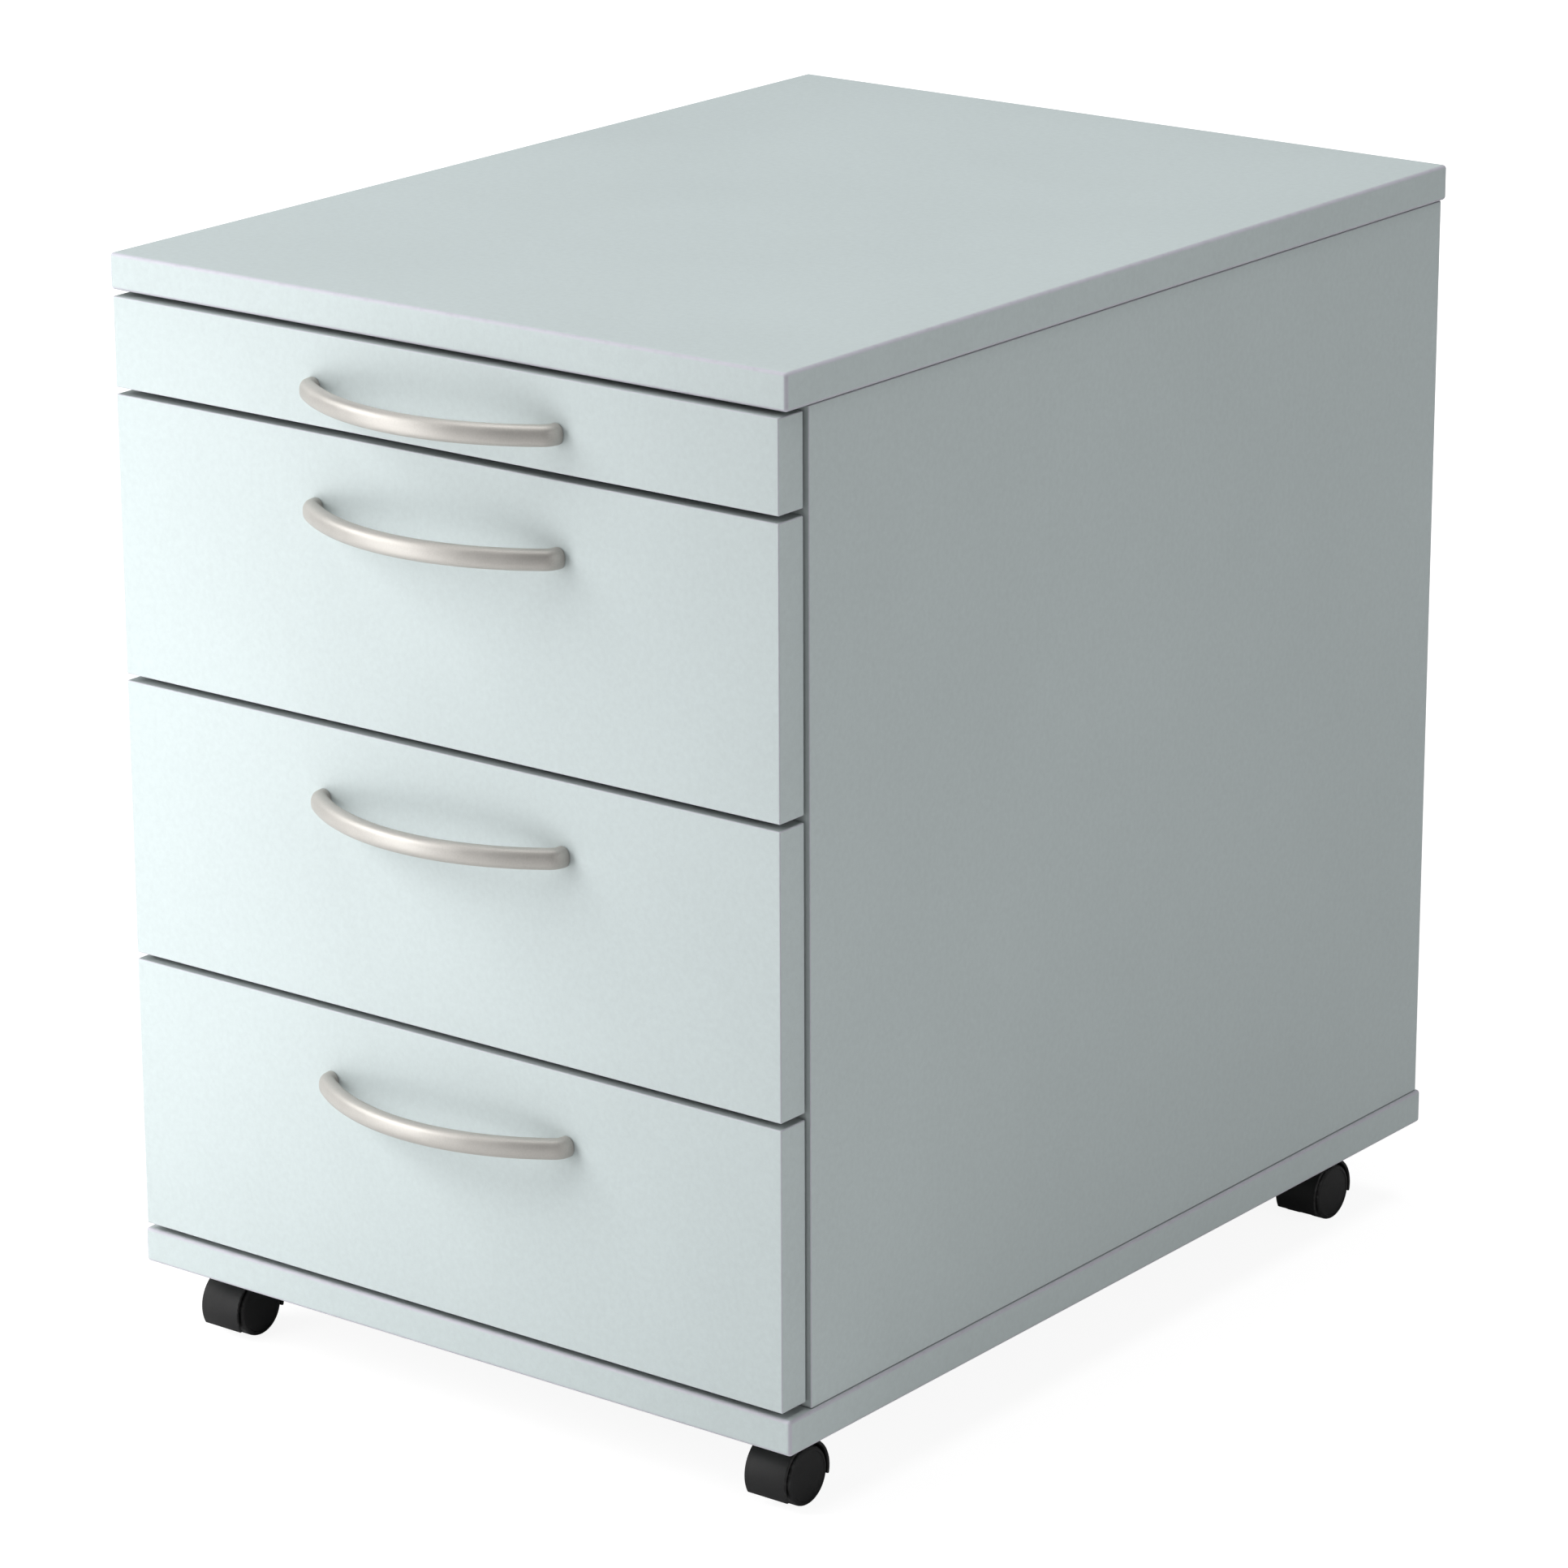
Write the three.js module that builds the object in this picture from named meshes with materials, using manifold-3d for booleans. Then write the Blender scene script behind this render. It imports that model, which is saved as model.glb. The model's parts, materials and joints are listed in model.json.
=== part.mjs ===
// Rolling pedestal cabinet: a board carcass on four twin-wheel casters, with one shallow
// pencil drawer over three equal steel drawers that run on roller runners.
// Millimetres, +Z up, the drawers open towards -Y, the floor is z = 0.
import * as THREE from "three";
import { RoundedBoxGeometry } from "three/addons/geometries/RoundedBoxGeometry.js";
import { mergeVertices } from "three/addons/utils/BufferGeometryUtils.js";
import Module from "manifold-3d";

const wasm = await Module();
wasm.setup();

// ---- driving dimensions ----
const FIT = 0.3; // gap between pieces that touch
const CUT = 1; // a cutting solid reaches this far past the face it opens
const BOARD = 19; // thickness of the melamine boards
const TOP_WIDTH = 428;
const TOP_DEPTH = 580;
const EDGE_RADIUS = 2.5; // rounded edge of the top and bottom panels
const EDGE_STEPS = 2;
const CASTER_HEIGHT = 44; // floor to the underside of the bottom panel
const SIDE_HEIGHT = 506;
const SIDE_OVERHANG = 1.5; // the top reaches past the side panels
const REAR_OVERHANG = 3; // and past their rear edges
const BACK_BOARD = 16;

const FRONT_WIDTH = 421;
const FRONT_PROUD = 1.8; // drawer fronts stand this far ahead of the top panel's edge
const FRONT_GAP = 3.5; // between two drawer fronts
const BOX_FRONT_HEIGHT = 147.3;
const PENCIL_FRONT_HEIGHT = 47;
const LOWEST_FRONT = 23; // underside of the lowest front above the bottom panel's underside

const SHEET = 1.2; // steel of the drawers and runners
const RUNNER_LENGTH = 500;
const RUNNER_START = 24; // behind the top panel's front edge
const RUNNER_HEIGHT = 18.8;
const RUNNER_DEPTH = 10;
const ROLLER_RADIUS = 7;
const ROLLER_WIDTH = 6.8;
const ROLLER_BORE = 2.6;
const ROLLER_SIDES = 12;
const STUD_RADIUS = 2.2;
const LEDGE_RISE = 15.8; // underside of the drawer's ledge above the runner's underside
const FRONT_ROLLER_Y = 38;
const REAR_ROLLER_Y = 505;
const BOX_HALF_WIDTH = 181.8;
const BOX_LENGTH = 500;
const BOX_HEIGHT = 110;
const BOX_RISE = 8; // box floor above its front's lower edge
const RUNNER_RISE = 8; // runner above the box floor
const HEM = 2.4; // doubled top edge of the steel walls
const HEM_HEIGHT = 8;
const LEDGE_INSET = 2; // the ledge starts this far behind the box's front wall
const LEDGE_STOP = 1; // and ends this far ahead of its rear face

const TRAY_LENGTH = 400;
const TRAY_WALL = 2.2;
const TRAY_BOTTOM = 477; // above the bottom panel's underside
const TRAY_HEIGHT = 31;
const TRAY_RIM = 2.5;
const TRAY_RIM_INSET = 8; // the rim stops this far short of the tray's ends
const PEN_POCKET = 80; // depth of the front pocket
const MIDDLE_POCKETS = 170; // depth of the row of pockets behind it
const MIDDLE_POCKET_COUNT = 3;
const GUIDE_HEIGHT = 8;
const GUIDE_WALL = 2.4;
const GUIDE_LENGTH = 460;

const HANDLE_FOOT = 77.2; // from the middle to a foot's centre line
const HANDLE_STEM = 0.6; // straight length of a foot
const HANDLE_BEND = 7.4; // bend radius at a foot
const HANDLE_SWEEP = THREE.MathUtils.degToRad(35.5); // slope of the bow where it leaves the bend
const HANDLE_TALL = 10.8;
const HANDLE_THICK = 9;
const SECTION_POWER = 2.3; // of the superellipse that the bar is in section
const HANDLE_BELOW_TOP = 38.3; // handle centre below the top edge of a steel drawer's front
const PENCIL_HANDLE_BELOW_TOP = 27.5;

const CASTER_X = 182; // swivel axes from the cabinet's middle
const CASTER_INSET = 49; // swivel axes from the panel's front and rear edges
const CASTER_TRAIL = 10; // axle ahead of the swivel axis
const WHEEL_RADIUS = 15.5;
const WHEEL_INNER = 3.8; // inner and outer faces of a wheel from the caster's middle
const WHEEL_OUTER = 13.5;
const WHEEL_BEVEL = 1;
const HOOD_INNER = 17;
const HOOD_OUTER = 18.7;
const HOOD_FRONT_END = THREE.MathUtils.degToRad(211.5); // where the hood's skirt ends ahead
const HOOD_REAR_END = THREE.MathUtils.degToRad(-15); // and behind the wheels
const AXLE_RADIUS = 2.5;
const AXLE_BORE = 2.7;
const AXLE_HALF = 10;
const STEM_RADIUS = 3;
const BOSS_RADIUS = 8;
const WEB_FRONT = [-6, -12.5]; // lower corners of the hood's web, from the axle
const WEB_REAR = [6, -11];
const PLATE_SIZE = 42;
const PLATE_THICK = 2;

// ---- derived places ----
const LIFT = CASTER_HEIGHT;
const SIDE_OUTER = TOP_WIDTH / 2 - SIDE_OVERHANG;
const SIDE_INNER = SIDE_OUTER - BOARD;
const SIDE_REAR = TOP_DEPTH - REAR_OVERHANG;
const FRONT_BACK = BOARD - FRONT_PROUD; // rear face of the drawer fronts
const BOX_START = FRONT_BACK + FIT;
const ROLLER_RISE = SHEET + FIT + ROLLER_RADIUS; // roller axis above the runner's underside
const BOW_END = HANDLE_FOOT - HANDLE_BEND * (1 - Math.sin(HANDLE_SWEEP));
const BOW_START_OUT = HANDLE_STEM + HANDLE_BEND * Math.cos(HANDLE_SWEEP);
const BOW_RADIUS = BOW_END / Math.sin(HANDLE_SWEEP);
const BOW_OUT = BOW_START_OUT + BOW_RADIUS * (1 - Math.cos(HANDLE_SWEEP));
const FRONTMOST = -FRONT_PROUD - FIT - BOW_OUT - HANDLE_THICK / 2;
const MIDDLE_Y = (FRONTMOST + TOP_DEPTH) / 2;

// ---- finishes ----
const finish = (color, roughness, metalness) =>
  new THREE.MeshStandardMaterial({ color, roughness, metalness });
const melamine = () => finish(0xd3dcdc, 0.55, 0);
const steel = () => finish(0x9aa0a2, 0.45, 0.6);
const nickel = () => finish(0xbdb8b1, 0.35, 1);
const blackPlastic = () => finish(0x232425, 0.6, 0);
const trayPlastic = () => finish(0x3a3d3f, 0.6, 0);
const nylon = () => finish(0xe8e8e2, 0.4, 0);

// ---- solid helpers ----
// A closed geometry as a manifold solid, for cutting and joining.
function solid(geometry) {
  const bare = geometry.clone();
  bare.deleteAttribute("normal");
  bare.deleteAttribute("uv");
  const merged = mergeVertices(bare, 1e-4);
  return new wasm.Manifold(
    new wasm.Mesh({
      numProp: 3,
      vertProperties: merged.attributes.position.array,
      triVerts: new Uint32Array(merged.index.array),
    }),
  );
}

// A manifold solid back as a three.js geometry.
function geometryOf(made) {
  const mesh = made.getMesh();
  const geometry = new THREE.BufferGeometry();
  geometry.setAttribute("position", new THREE.BufferAttribute(mesh.vertProperties, 3));
  geometry.setIndex(new THREE.BufferAttribute(mesh.triVerts, 1));
  geometry.computeVertexNormals();
  return geometry;
}

// A box between two corners.
function block(x0, x1, y0, y1, z0, z1) {
  const geometry = new THREE.BoxGeometry(Math.abs(x1 - x0), y1 - y0, z1 - z0);
  return geometry.translate((x0 + x1) / 2, (y0 + y1) / 2, (z0 + z1) / 2);
}

// An outline in X and Z, extruded from y0 to y1.
function prismAlongY(outline, y0, y1) {
  const shape = new THREE.Shape(outline);
  const geometry = new THREE.ExtrudeGeometry(shape, { depth: y1 - y0, bevelEnabled: false });
  return geometry.rotateX(Math.PI / 2).translate(0, y1, 0);
}

// A shape in Y and Z, extruded from x0 to x1.
function prismAlongX(shape, x0, x1, curveSegments) {
  const options = { depth: x1 - x0, bevelEnabled: false, curveSegments };
  const turn = new THREE.Matrix4().makeBasis(
    new THREE.Vector3(0, 1, 0),
    new THREE.Vector3(0, 0, 1),
    new THREE.Vector3(1, 0, 0),
  );
  return new THREE.ExtrudeGeometry(shape, options).applyMatrix4(turn).translate(x0, 0, 0);
}

// A round bar along X.
function barAlongX(radius, x0, x1, y, z, sides) {
  const geometry = new THREE.CylinderGeometry(radius, radius, Math.abs(x1 - x0), sides);
  return geometry.rotateZ(Math.PI / 2).translate((x0 + x1) / 2, y, z);
}

// A profile of [radius, x] points turned about X.
function turnedAboutX(profile, sides) {
  const points = profile.map(([radius, x]) => new THREE.Vector2(radius, x));
  return new THREE.LatheGeometry(points, sides).rotateZ(-Math.PI / 2);
}

const cabinet = new THREE.Group();
cabinet.position.y = -MIDDLE_Y;

function add(name, geometry, material, parent = cabinet) {
  const mesh = new THREE.Mesh(geometry, material);
  mesh.name = name;
  parent.add(mesh);
  return mesh;
}

// ---- carcass ----
function makeCarcass() {
  const panel = new RoundedBoxGeometry(TOP_WIDTH, TOP_DEPTH, BOARD, EDGE_STEPS, EDGE_RADIUS);
  const topCentre = LIFT + BOARD * 1.5 + SIDE_HEIGHT;
  add("top_panel", panel.clone().translate(0, TOP_DEPTH / 2, topCentre), melamine());
  add("bottom_panel", panel.clone().translate(0, TOP_DEPTH / 2, LIFT + BOARD / 2), melamine());
  const low = LIFT + BOARD + FIT;
  const high = LIFT + BOARD + SIDE_HEIGHT - FIT;
  add("left_side", block(-SIDE_OUTER, -SIDE_INNER, BOARD, SIDE_REAR, low, high), melamine());
  add("right_side", block(SIDE_INNER, SIDE_OUTER, BOARD, SIDE_REAR, low, high), melamine());
  const inner = SIDE_INNER - FIT;
  const backStart = SIDE_REAR - BACK_BOARD;
  add("back_panel", block(-inner, inner, backStart, SIDE_REAR, low, high), melamine());
}

// ---- runners ----
// An open channel on a side panel: a web with an upper and a lower flange turned inwards.
function channel(side, low, height, wall, y0, y1) {
  const outer = side * (SIDE_INNER - FIT);
  const web = outer - side * wall;
  const tip = outer - side * RUNNER_DEPTH;
  const outline = [
    new THREE.Vector2(outer, low),
    new THREE.Vector2(tip, low),
    new THREE.Vector2(tip, low + wall),
    new THREE.Vector2(web, low + wall),
    new THREE.Vector2(web, low + height - wall),
    new THREE.Vector2(tip, low + height - wall),
    new THREE.Vector2(tip, low + height),
    new THREE.Vector2(outer, low + height),
  ];
  return prismAlongY(outline, y0, y1);
}

function roller(side, nearX, y, z) {
  const profile = [
    [ROLLER_BORE, 0],
    [ROLLER_RADIUS, 0],
    [ROLLER_RADIUS, ROLLER_WIDTH],
    [ROLLER_BORE, ROLLER_WIDTH],
    [ROLLER_BORE, 0],
  ];
  const start = side > 0 ? nearX : -nearX - ROLLER_WIDTH;
  return turnedAboutX(profile, ROLLER_SIDES).translate(start, y, z);
}

const SIDES = [
  ["left", -1],
  ["right", 1],
];
const ROLLER_NEAR = BOX_HALF_WIDTH + 2 * FIT; // inner face of a drawer's rollers
const FRONT_ROLLER_NEAR = SIDE_INNER - FIT - SHEET - FIT - ROLLER_WIDTH;

function makeRunners(number, low) {
  for (const [word, side] of SIDES) {
    const rail = channel(side, low, RUNNER_HEIGHT, SHEET, RUNNER_START, RUNNER_START + RUNNER_LENGTH);
    const axisZ = low + ROLLER_RISE;
    const studRoot = side * (SIDE_INNER - FIT - SHEET / 2);
    const studTip = side * (FRONT_ROLLER_NEAR - FIT);
    const stud = barAlongX(STUD_RADIUS, studRoot, studTip, FRONT_ROLLER_Y, axisZ, ROLLER_SIDES);
    add(`runner_${number}_${word}`, geometryOf(solid(rail).add(solid(stud))), steel());
    const wheel = roller(side, FRONT_ROLLER_NEAR, FRONT_ROLLER_Y, axisZ);
    add(`front_roller_${number}_${word}`, wheel, nylon());
  }
}

// ---- handles ----
const BEND_STEPS = 4;
const BOW_STEPS = 7;
const SECTION_SIDES = 12;

// A path whose extrusion steps stand at its own points, which lie closer together in the bends.
class BarPath extends THREE.CatmullRomCurve3 {
  getPointAt(u, target) {
    return this.getPoint(u, target);
  }

  getTangentAt(u, target) {
    return this.getTangent(u, target);
  }
}

// Half the handle's centre line, from the foot to the middle of the bow, as [x, out] pairs.
function handleHalf() {
  const points = [[HANDLE_FOOT, 0]];
  const bendTurn = Math.PI / 2 - HANDLE_SWEEP;
  for (let i = 0; i <= BEND_STEPS; i++) {
    const turn = (bendTurn * i) / BEND_STEPS;
    const x = HANDLE_FOOT - HANDLE_BEND * (1 - Math.cos(turn));
    points.push([x, HANDLE_STEM + HANDLE_BEND * Math.sin(turn)]);
  }
  for (let i = 1; i <= BOW_STEPS; i++) {
    const slope = HANDLE_SWEEP * (1 - i / BOW_STEPS);
    points.push([BOW_RADIUS * Math.sin(slope), BOW_OUT - BOW_RADIUS * (1 - Math.cos(slope))]);
  }
  return points;
}

// The bar's section: a superellipse, taller than it is thick.
function handleSection() {
  const bulge = (part, half) => Math.sign(part) * Math.abs(part) ** (2 / SECTION_POWER) * half;
  const points = [];
  for (let i = 0; i < SECTION_SIDES; i++) {
    const turn = (2 * Math.PI * i) / SECTION_SIDES;
    const rise = bulge(Math.cos(turn), HANDLE_TALL / 2);
    points.push(new THREE.Vector2(rise, bulge(Math.sin(turn), HANDLE_THICK / 2)));
  }
  return points;
}

function handleGeometry() {
  const half = handleHalf();
  const mirrored = half.slice(0, -1).reverse().map(([x, out]) => [-x, out]);
  const line = [...half, ...mirrored].map(([x, out]) => new THREE.Vector3(x, -out, 0));
  const section = new THREE.Shape(handleSection());
  const options = { steps: line.length - 1, extrudePath: new BarPath(line) };
  return new THREE.ExtrudeGeometry(section, options);
}

// ---- drawers ----
function steelBox(low) {
  const end = BOX_START + BOX_LENGTH;
  const high = low + BOX_HEIGHT;
  const half = BOX_HALF_WIDTH;
  const hollow = half - SHEET;
  let box = solid(block(-half, half, BOX_START, end, low, high));
  const top = high - HEM_HEIGHT;
  const frontFace = BOX_START + SHEET;
  box = box.subtract(solid(block(-hollow, hollow, frontFace, end - SHEET, low + SHEET, top)));
  const hemmed = half - HEM;
  box = box.subtract(solid(block(-hemmed, hemmed, frontFace, end - HEM, top - CUT, high + CUT)));
  const ledge = low + RUNNER_RISE + LEDGE_RISE;
  const reach = SIDE_INNER - FIT - SHEET - 2 * FIT;
  for (const [, side] of SIDES) {
    const inside = side * (half - SHEET / 2);
    const lip = block(
      Math.min(inside, side * reach),
      Math.max(inside, side * reach),
      BOX_START + LEDGE_INSET,
      end - LEDGE_STOP,
      ledge,
      ledge + SHEET,
    );
    const axisZ = low + RUNNER_RISE + ROLLER_RISE;
    const studTip = side * (ROLLER_NEAR + ROLLER_WIDTH + FIT);
    const stud = barAlongX(STUD_RADIUS, inside, studTip, REAR_ROLLER_Y, axisZ, ROLLER_SIDES);
    box = box.add(solid(lip)).add(solid(stud));
  }
  return geometryOf(box);
}

// A shallow moulded tray: pockets sunk in one block, with a rim that slides in the guides.
function pencilTray() {
  const low = LIFT + TRAY_BOTTOM;
  const high = low + TRAY_HEIGHT;
  const end = BOX_START + TRAY_LENGTH;
  const half = BOX_HALF_WIDTH;
  const rimReach = SIDE_INNER - FIT - GUIDE_WALL - 2 * FIT;
  let tray = solid(block(-half, half, BOX_START, end, low, high));
  const rimStart = BOX_START + TRAY_RIM_INSET;
  const rimEnd = end - TRAY_RIM_INSET;
  tray = tray.add(solid(block(-rimReach, rimReach, rimStart, rimEnd, high - TRAY_RIM, high)));
  const floor = low + TRAY_WALL;
  const pocketHalf = half - TRAY_WALL;
  const front = BOX_START + TRAY_WALL;
  const penEnd = front + PEN_POCKET;
  const midEnd = penEnd + MIDDLE_POCKETS;
  const dividers = (MIDDLE_POCKET_COUNT - 1) * TRAY_WALL;
  const columnWidth = (2 * pocketHalf - dividers) / MIDDLE_POCKET_COUNT;
  const pockets = [
    block(-pocketHalf, pocketHalf, front, penEnd, floor, high + CUT),
    block(-pocketHalf, pocketHalf, midEnd + TRAY_WALL, end - TRAY_WALL, floor, high + CUT),
  ];
  for (let i = 0; i < MIDDLE_POCKET_COUNT; i++) {
    const start = -pocketHalf + i * (columnWidth + TRAY_WALL);
    pockets.push(block(start, start + columnWidth, penEnd + TRAY_WALL, midEnd, floor, high + CUT));
  }
  for (const pocket of pockets) {
    tray = tray.subtract(solid(pocket));
  }
  return geometryOf(tray);
}

function addFront(number, low, height, handleBelowTop) {
  const high = low + height;
  const face = -FRONT_PROUD;
  const board = block(-FRONT_WIDTH / 2, FRONT_WIDTH / 2, face, FRONT_BACK, low, high);
  add(`front_${number}`, board, melamine());
  const bow = handleGeometry().translate(0, face - FIT, high - handleBelowTop);
  add(`handle_${number}`, bow, nickel());
}

function makeSteelDrawer(number, frontLow) {
  addFront(number, frontLow, BOX_FRONT_HEIGHT, HANDLE_BELOW_TOP);
  const low = frontLow + BOX_RISE;
  add(`steel_box_${number}`, steelBox(low), steel());
  makeRunners(number, low + RUNNER_RISE);
  const axisZ = low + RUNNER_RISE + ROLLER_RISE;
  for (const [word, side] of SIDES) {
    const wheel = roller(side, ROLLER_NEAR, REAR_ROLLER_Y, axisZ);
    add(`rear_roller_${number}_${word}`, wheel, nylon());
  }
}

function makePencilDrawer(frontLow) {
  addFront(1, frontLow, PENCIL_FRONT_HEIGHT, PENCIL_HANDLE_BELOW_TOP);
  add("pencil_tray", pencilTray(), trayPlastic());
  const rimMiddle = LIFT + TRAY_BOTTOM + TRAY_HEIGHT - TRAY_RIM / 2;
  const low = rimMiddle - GUIDE_HEIGHT / 2;
  for (const [word, side] of SIDES) {
    const end = RUNNER_START + GUIDE_LENGTH;
    const guide = channel(side, low, GUIDE_HEIGHT, GUIDE_WALL, RUNNER_START, end);
    add(`tray_guide_${word}`, guide, blackPlastic());
  }
}

// ---- casters ----
// All caster pieces are made about the swivel axis, with z = 0 on the floor.
const AXLE_Y = -CASTER_TRAIL;
const AXLE_Z = WHEEL_RADIUS;
const PLATE_LOW = CASTER_HEIGHT - FIT - PLATE_THICK;
const STEM_FOOT = AXLE_Z + HOOD_INNER - 1; // the stem ends just above the wheels' space
const BOSS_LOW = AXLE_Z + 8;
const ROUND_SIDES = 20;
const WHEEL_SIDES = 24;
const HOOD_SEGMENTS = 10;
const SPACE_SIDES = 40;

function mountPlate() {
  const half = PLATE_SIZE / 2;
  const plate = block(-half, half, -half, half, PLATE_LOW, CASTER_HEIGHT - FIT);
  const stemTop = PLATE_LOW + PLATE_THICK / 2;
  const length = stemTop - STEM_FOOT;
  const stem = new THREE.CylinderGeometry(STEM_RADIUS, STEM_RADIUS, length, ROUND_SIDES);
  stem.rotateX(Math.PI / 2).translate(0, 0, (stemTop + STEM_FOOT) / 2);
  return geometryOf(solid(plate).add(solid(stem)));
}

// The hood: a curved shell over both wheels, a web between them and a boss for the stem.
function casterHood() {
  const skirt = new THREE.Shape();
  skirt.absarc(0, 0, HOOD_OUTER, HOOD_REAR_END, HOOD_FRONT_END, false);
  skirt.absarc(0, 0, HOOD_INNER, HOOD_FRONT_END, HOOD_REAR_END, true);
  const web = new THREE.Shape();
  web.absarc(0, 0, HOOD_INNER + 0.5, HOOD_REAR_END, HOOD_FRONT_END, false);
  web.lineTo(...WEB_FRONT);
  web.lineTo(...WEB_REAR);
  const place = (geometry) => solid(geometry.translate(0, AXLE_Y, AXLE_Z));
  const bossTop = PLATE_LOW - FIT;
  const height = bossTop - BOSS_LOW;
  const boss = new THREE.CylinderGeometry(BOSS_RADIUS, BOSS_RADIUS, height, WHEEL_SIDES);
  boss.rotateX(Math.PI / 2).translate(0, 0, (bossTop + BOSS_LOW) / 2);
  const wheelSpace = (x0, x1) =>
    solid(barAlongX(HOOD_INNER, x0, x1, AXLE_Y, AXLE_Z, SPACE_SIDES));
  const webHalf = WHEEL_INNER - FIT;
  const beyond = WHEEL_OUTER + CUT;
  let hood = solid(boss).subtract(wheelSpace(webHalf, beyond)).subtract(wheelSpace(-beyond, -webHalf));
  hood = hood.add(place(prismAlongX(skirt, -WHEEL_OUTER, WHEEL_OUTER, HOOD_SEGMENTS)));
  hood = hood.add(place(prismAlongX(web, -webHalf, webHalf, HOOD_SEGMENTS)));
  const bore = STEM_RADIUS + FIT;
  const stemHole = new THREE.CylinderGeometry(bore, bore, CASTER_HEIGHT, ROUND_SIDES);
  stemHole.rotateX(Math.PI / 2).translate(0, 0, STEM_FOOT - FIT + CASTER_HEIGHT / 2);
  const axleBore = AXLE_RADIUS + FIT;
  const axleHole = barAlongX(axleBore, -WHEEL_OUTER, WHEEL_OUTER, AXLE_Y, AXLE_Z, ROUND_SIDES);
  return geometryOf(hood.subtract(solid(stemHole)).subtract(solid(axleHole)));
}

// A wheel: a tread with softened edges, a flat outer disc and a blind bore for the axle.
function casterWheel(side) {
  const width = WHEEL_OUTER - WHEEL_INNER;
  const boreDepth = AXLE_HALF - WHEEL_INNER + FIT;
    const profile = [
    [0, boreDepth],
    [AXLE_BORE, boreDepth],
    [AXLE_BORE, 0],
    [WHEEL_RADIUS - WHEEL_BEVEL, 0],
    [WHEEL_RADIUS, WHEEL_BEVEL],
    [WHEEL_RADIUS, width - WHEEL_BEVEL],
    [WHEEL_RADIUS - WHEEL_BEVEL, width],
    [0, width],
  ];
  const wheel = turnedAboutX(profile, WHEEL_SIDES);
  if (side < 0) {
    wheel.rotateZ(Math.PI);
  }
  return wheel.translate(side * WHEEL_INNER, AXLE_Y, AXLE_Z);
}

function makeCaster(name, x, y) {
  const caster = new THREE.Group();
  caster.position.set(x, y, 0);
  add(`${name}_plate`, mountPlate(), steel(), caster);
  add(`${name}_hood`, casterHood(), blackPlastic(), caster);
  const axle = barAlongX(AXLE_RADIUS, -AXLE_HALF, AXLE_HALF, AXLE_Y, AXLE_Z, ROUND_SIDES);
  add(`${name}_axle`, axle, steel(), caster);
  for (const [word, side] of SIDES) {
    add(`${name}_wheel_${word}`, casterWheel(side), blackPlastic(), caster);
  }
  cabinet.add(caster);
}

// ---- assembly ----
makeCarcass();
const steelFront = (step) => LIFT + LOWEST_FRONT + step * (BOX_FRONT_HEIGHT + FRONT_GAP);
makeSteelDrawer(4, steelFront(0));
makeSteelDrawer(3, steelFront(1));
makeSteelDrawer(2, steelFront(2));
makePencilDrawer(steelFront(3));
makeCaster("caster_front_left", -CASTER_X, CASTER_INSET);
makeCaster("caster_front_right", CASTER_X, CASTER_INSET);
makeCaster("caster_rear_left", -CASTER_X, TOP_DEPTH - CASTER_INSET);
makeCaster("caster_rear_right", CASTER_X, TOP_DEPTH - CASTER_INSET);

export default cabinet;
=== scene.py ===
"""Rolling pedestal cabinet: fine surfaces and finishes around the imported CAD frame.

Each new surface is a grid of points worked out with numpy in millimetres, in the frame of the CAD
part (+Z up, the drawers open towards -Y, the floor is z = 0), and written to its mesh in metres.
"""

import json
import math

import bpy
import numpy as np
from mathutils import Matrix, Vector


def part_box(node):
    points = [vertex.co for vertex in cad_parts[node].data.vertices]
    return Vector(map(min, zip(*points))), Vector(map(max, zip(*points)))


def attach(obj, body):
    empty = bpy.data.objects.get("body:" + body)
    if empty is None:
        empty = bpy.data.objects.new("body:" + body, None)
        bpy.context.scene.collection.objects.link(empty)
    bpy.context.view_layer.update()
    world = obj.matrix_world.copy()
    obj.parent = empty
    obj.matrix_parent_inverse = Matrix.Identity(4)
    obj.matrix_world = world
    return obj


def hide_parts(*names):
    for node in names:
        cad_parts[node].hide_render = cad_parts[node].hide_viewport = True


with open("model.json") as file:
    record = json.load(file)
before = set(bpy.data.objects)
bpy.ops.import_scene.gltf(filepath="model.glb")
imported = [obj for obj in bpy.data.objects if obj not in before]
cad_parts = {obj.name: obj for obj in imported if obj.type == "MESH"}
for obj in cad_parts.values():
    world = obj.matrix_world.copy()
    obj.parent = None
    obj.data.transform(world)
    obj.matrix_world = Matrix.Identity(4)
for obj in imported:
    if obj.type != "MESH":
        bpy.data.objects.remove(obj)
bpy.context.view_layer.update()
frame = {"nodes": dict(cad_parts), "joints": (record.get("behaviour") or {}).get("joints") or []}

MM = 0.001
SIDES = (("left", -1), ("right", 1))
STEEL_DRAWERS = (2, 3, 4)
DRAWERS = (1, 2, 3, 4)
CASTERS = ("front_left", "front_right", "rear_left", "rear_right")
JOINT_PLACES = {
    joint["name"]: np.array(joint["pos_m"]) / MM for joint in frame["joints"] if "pos_m" in joint
}


def box_of(node):
    """A node's lowest and highest corners in millimetres."""
    low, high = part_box(node)
    return np.array(low) / MM, np.array(high) / MM


# ---- point grids and faces ----


def grid_faces(rows, columns, close_rows=False, close_columns=False):
    """Quads between neighbouring points of a grid, joined round where a direction is closed."""
    i = np.arange(rows if close_rows else rows - 1)
    j = np.arange(columns if close_columns else columns - 1)
    i, j = np.meshgrid(i, j, indexing="ij")
    i2, j2 = (i + 1) % rows, (j + 1) % columns
    corners = [i * columns + j, i2 * columns + j, i2 * columns + j2, i * columns + j2]
    return np.stack(corners, axis=-1).reshape(-1, 4)


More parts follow.
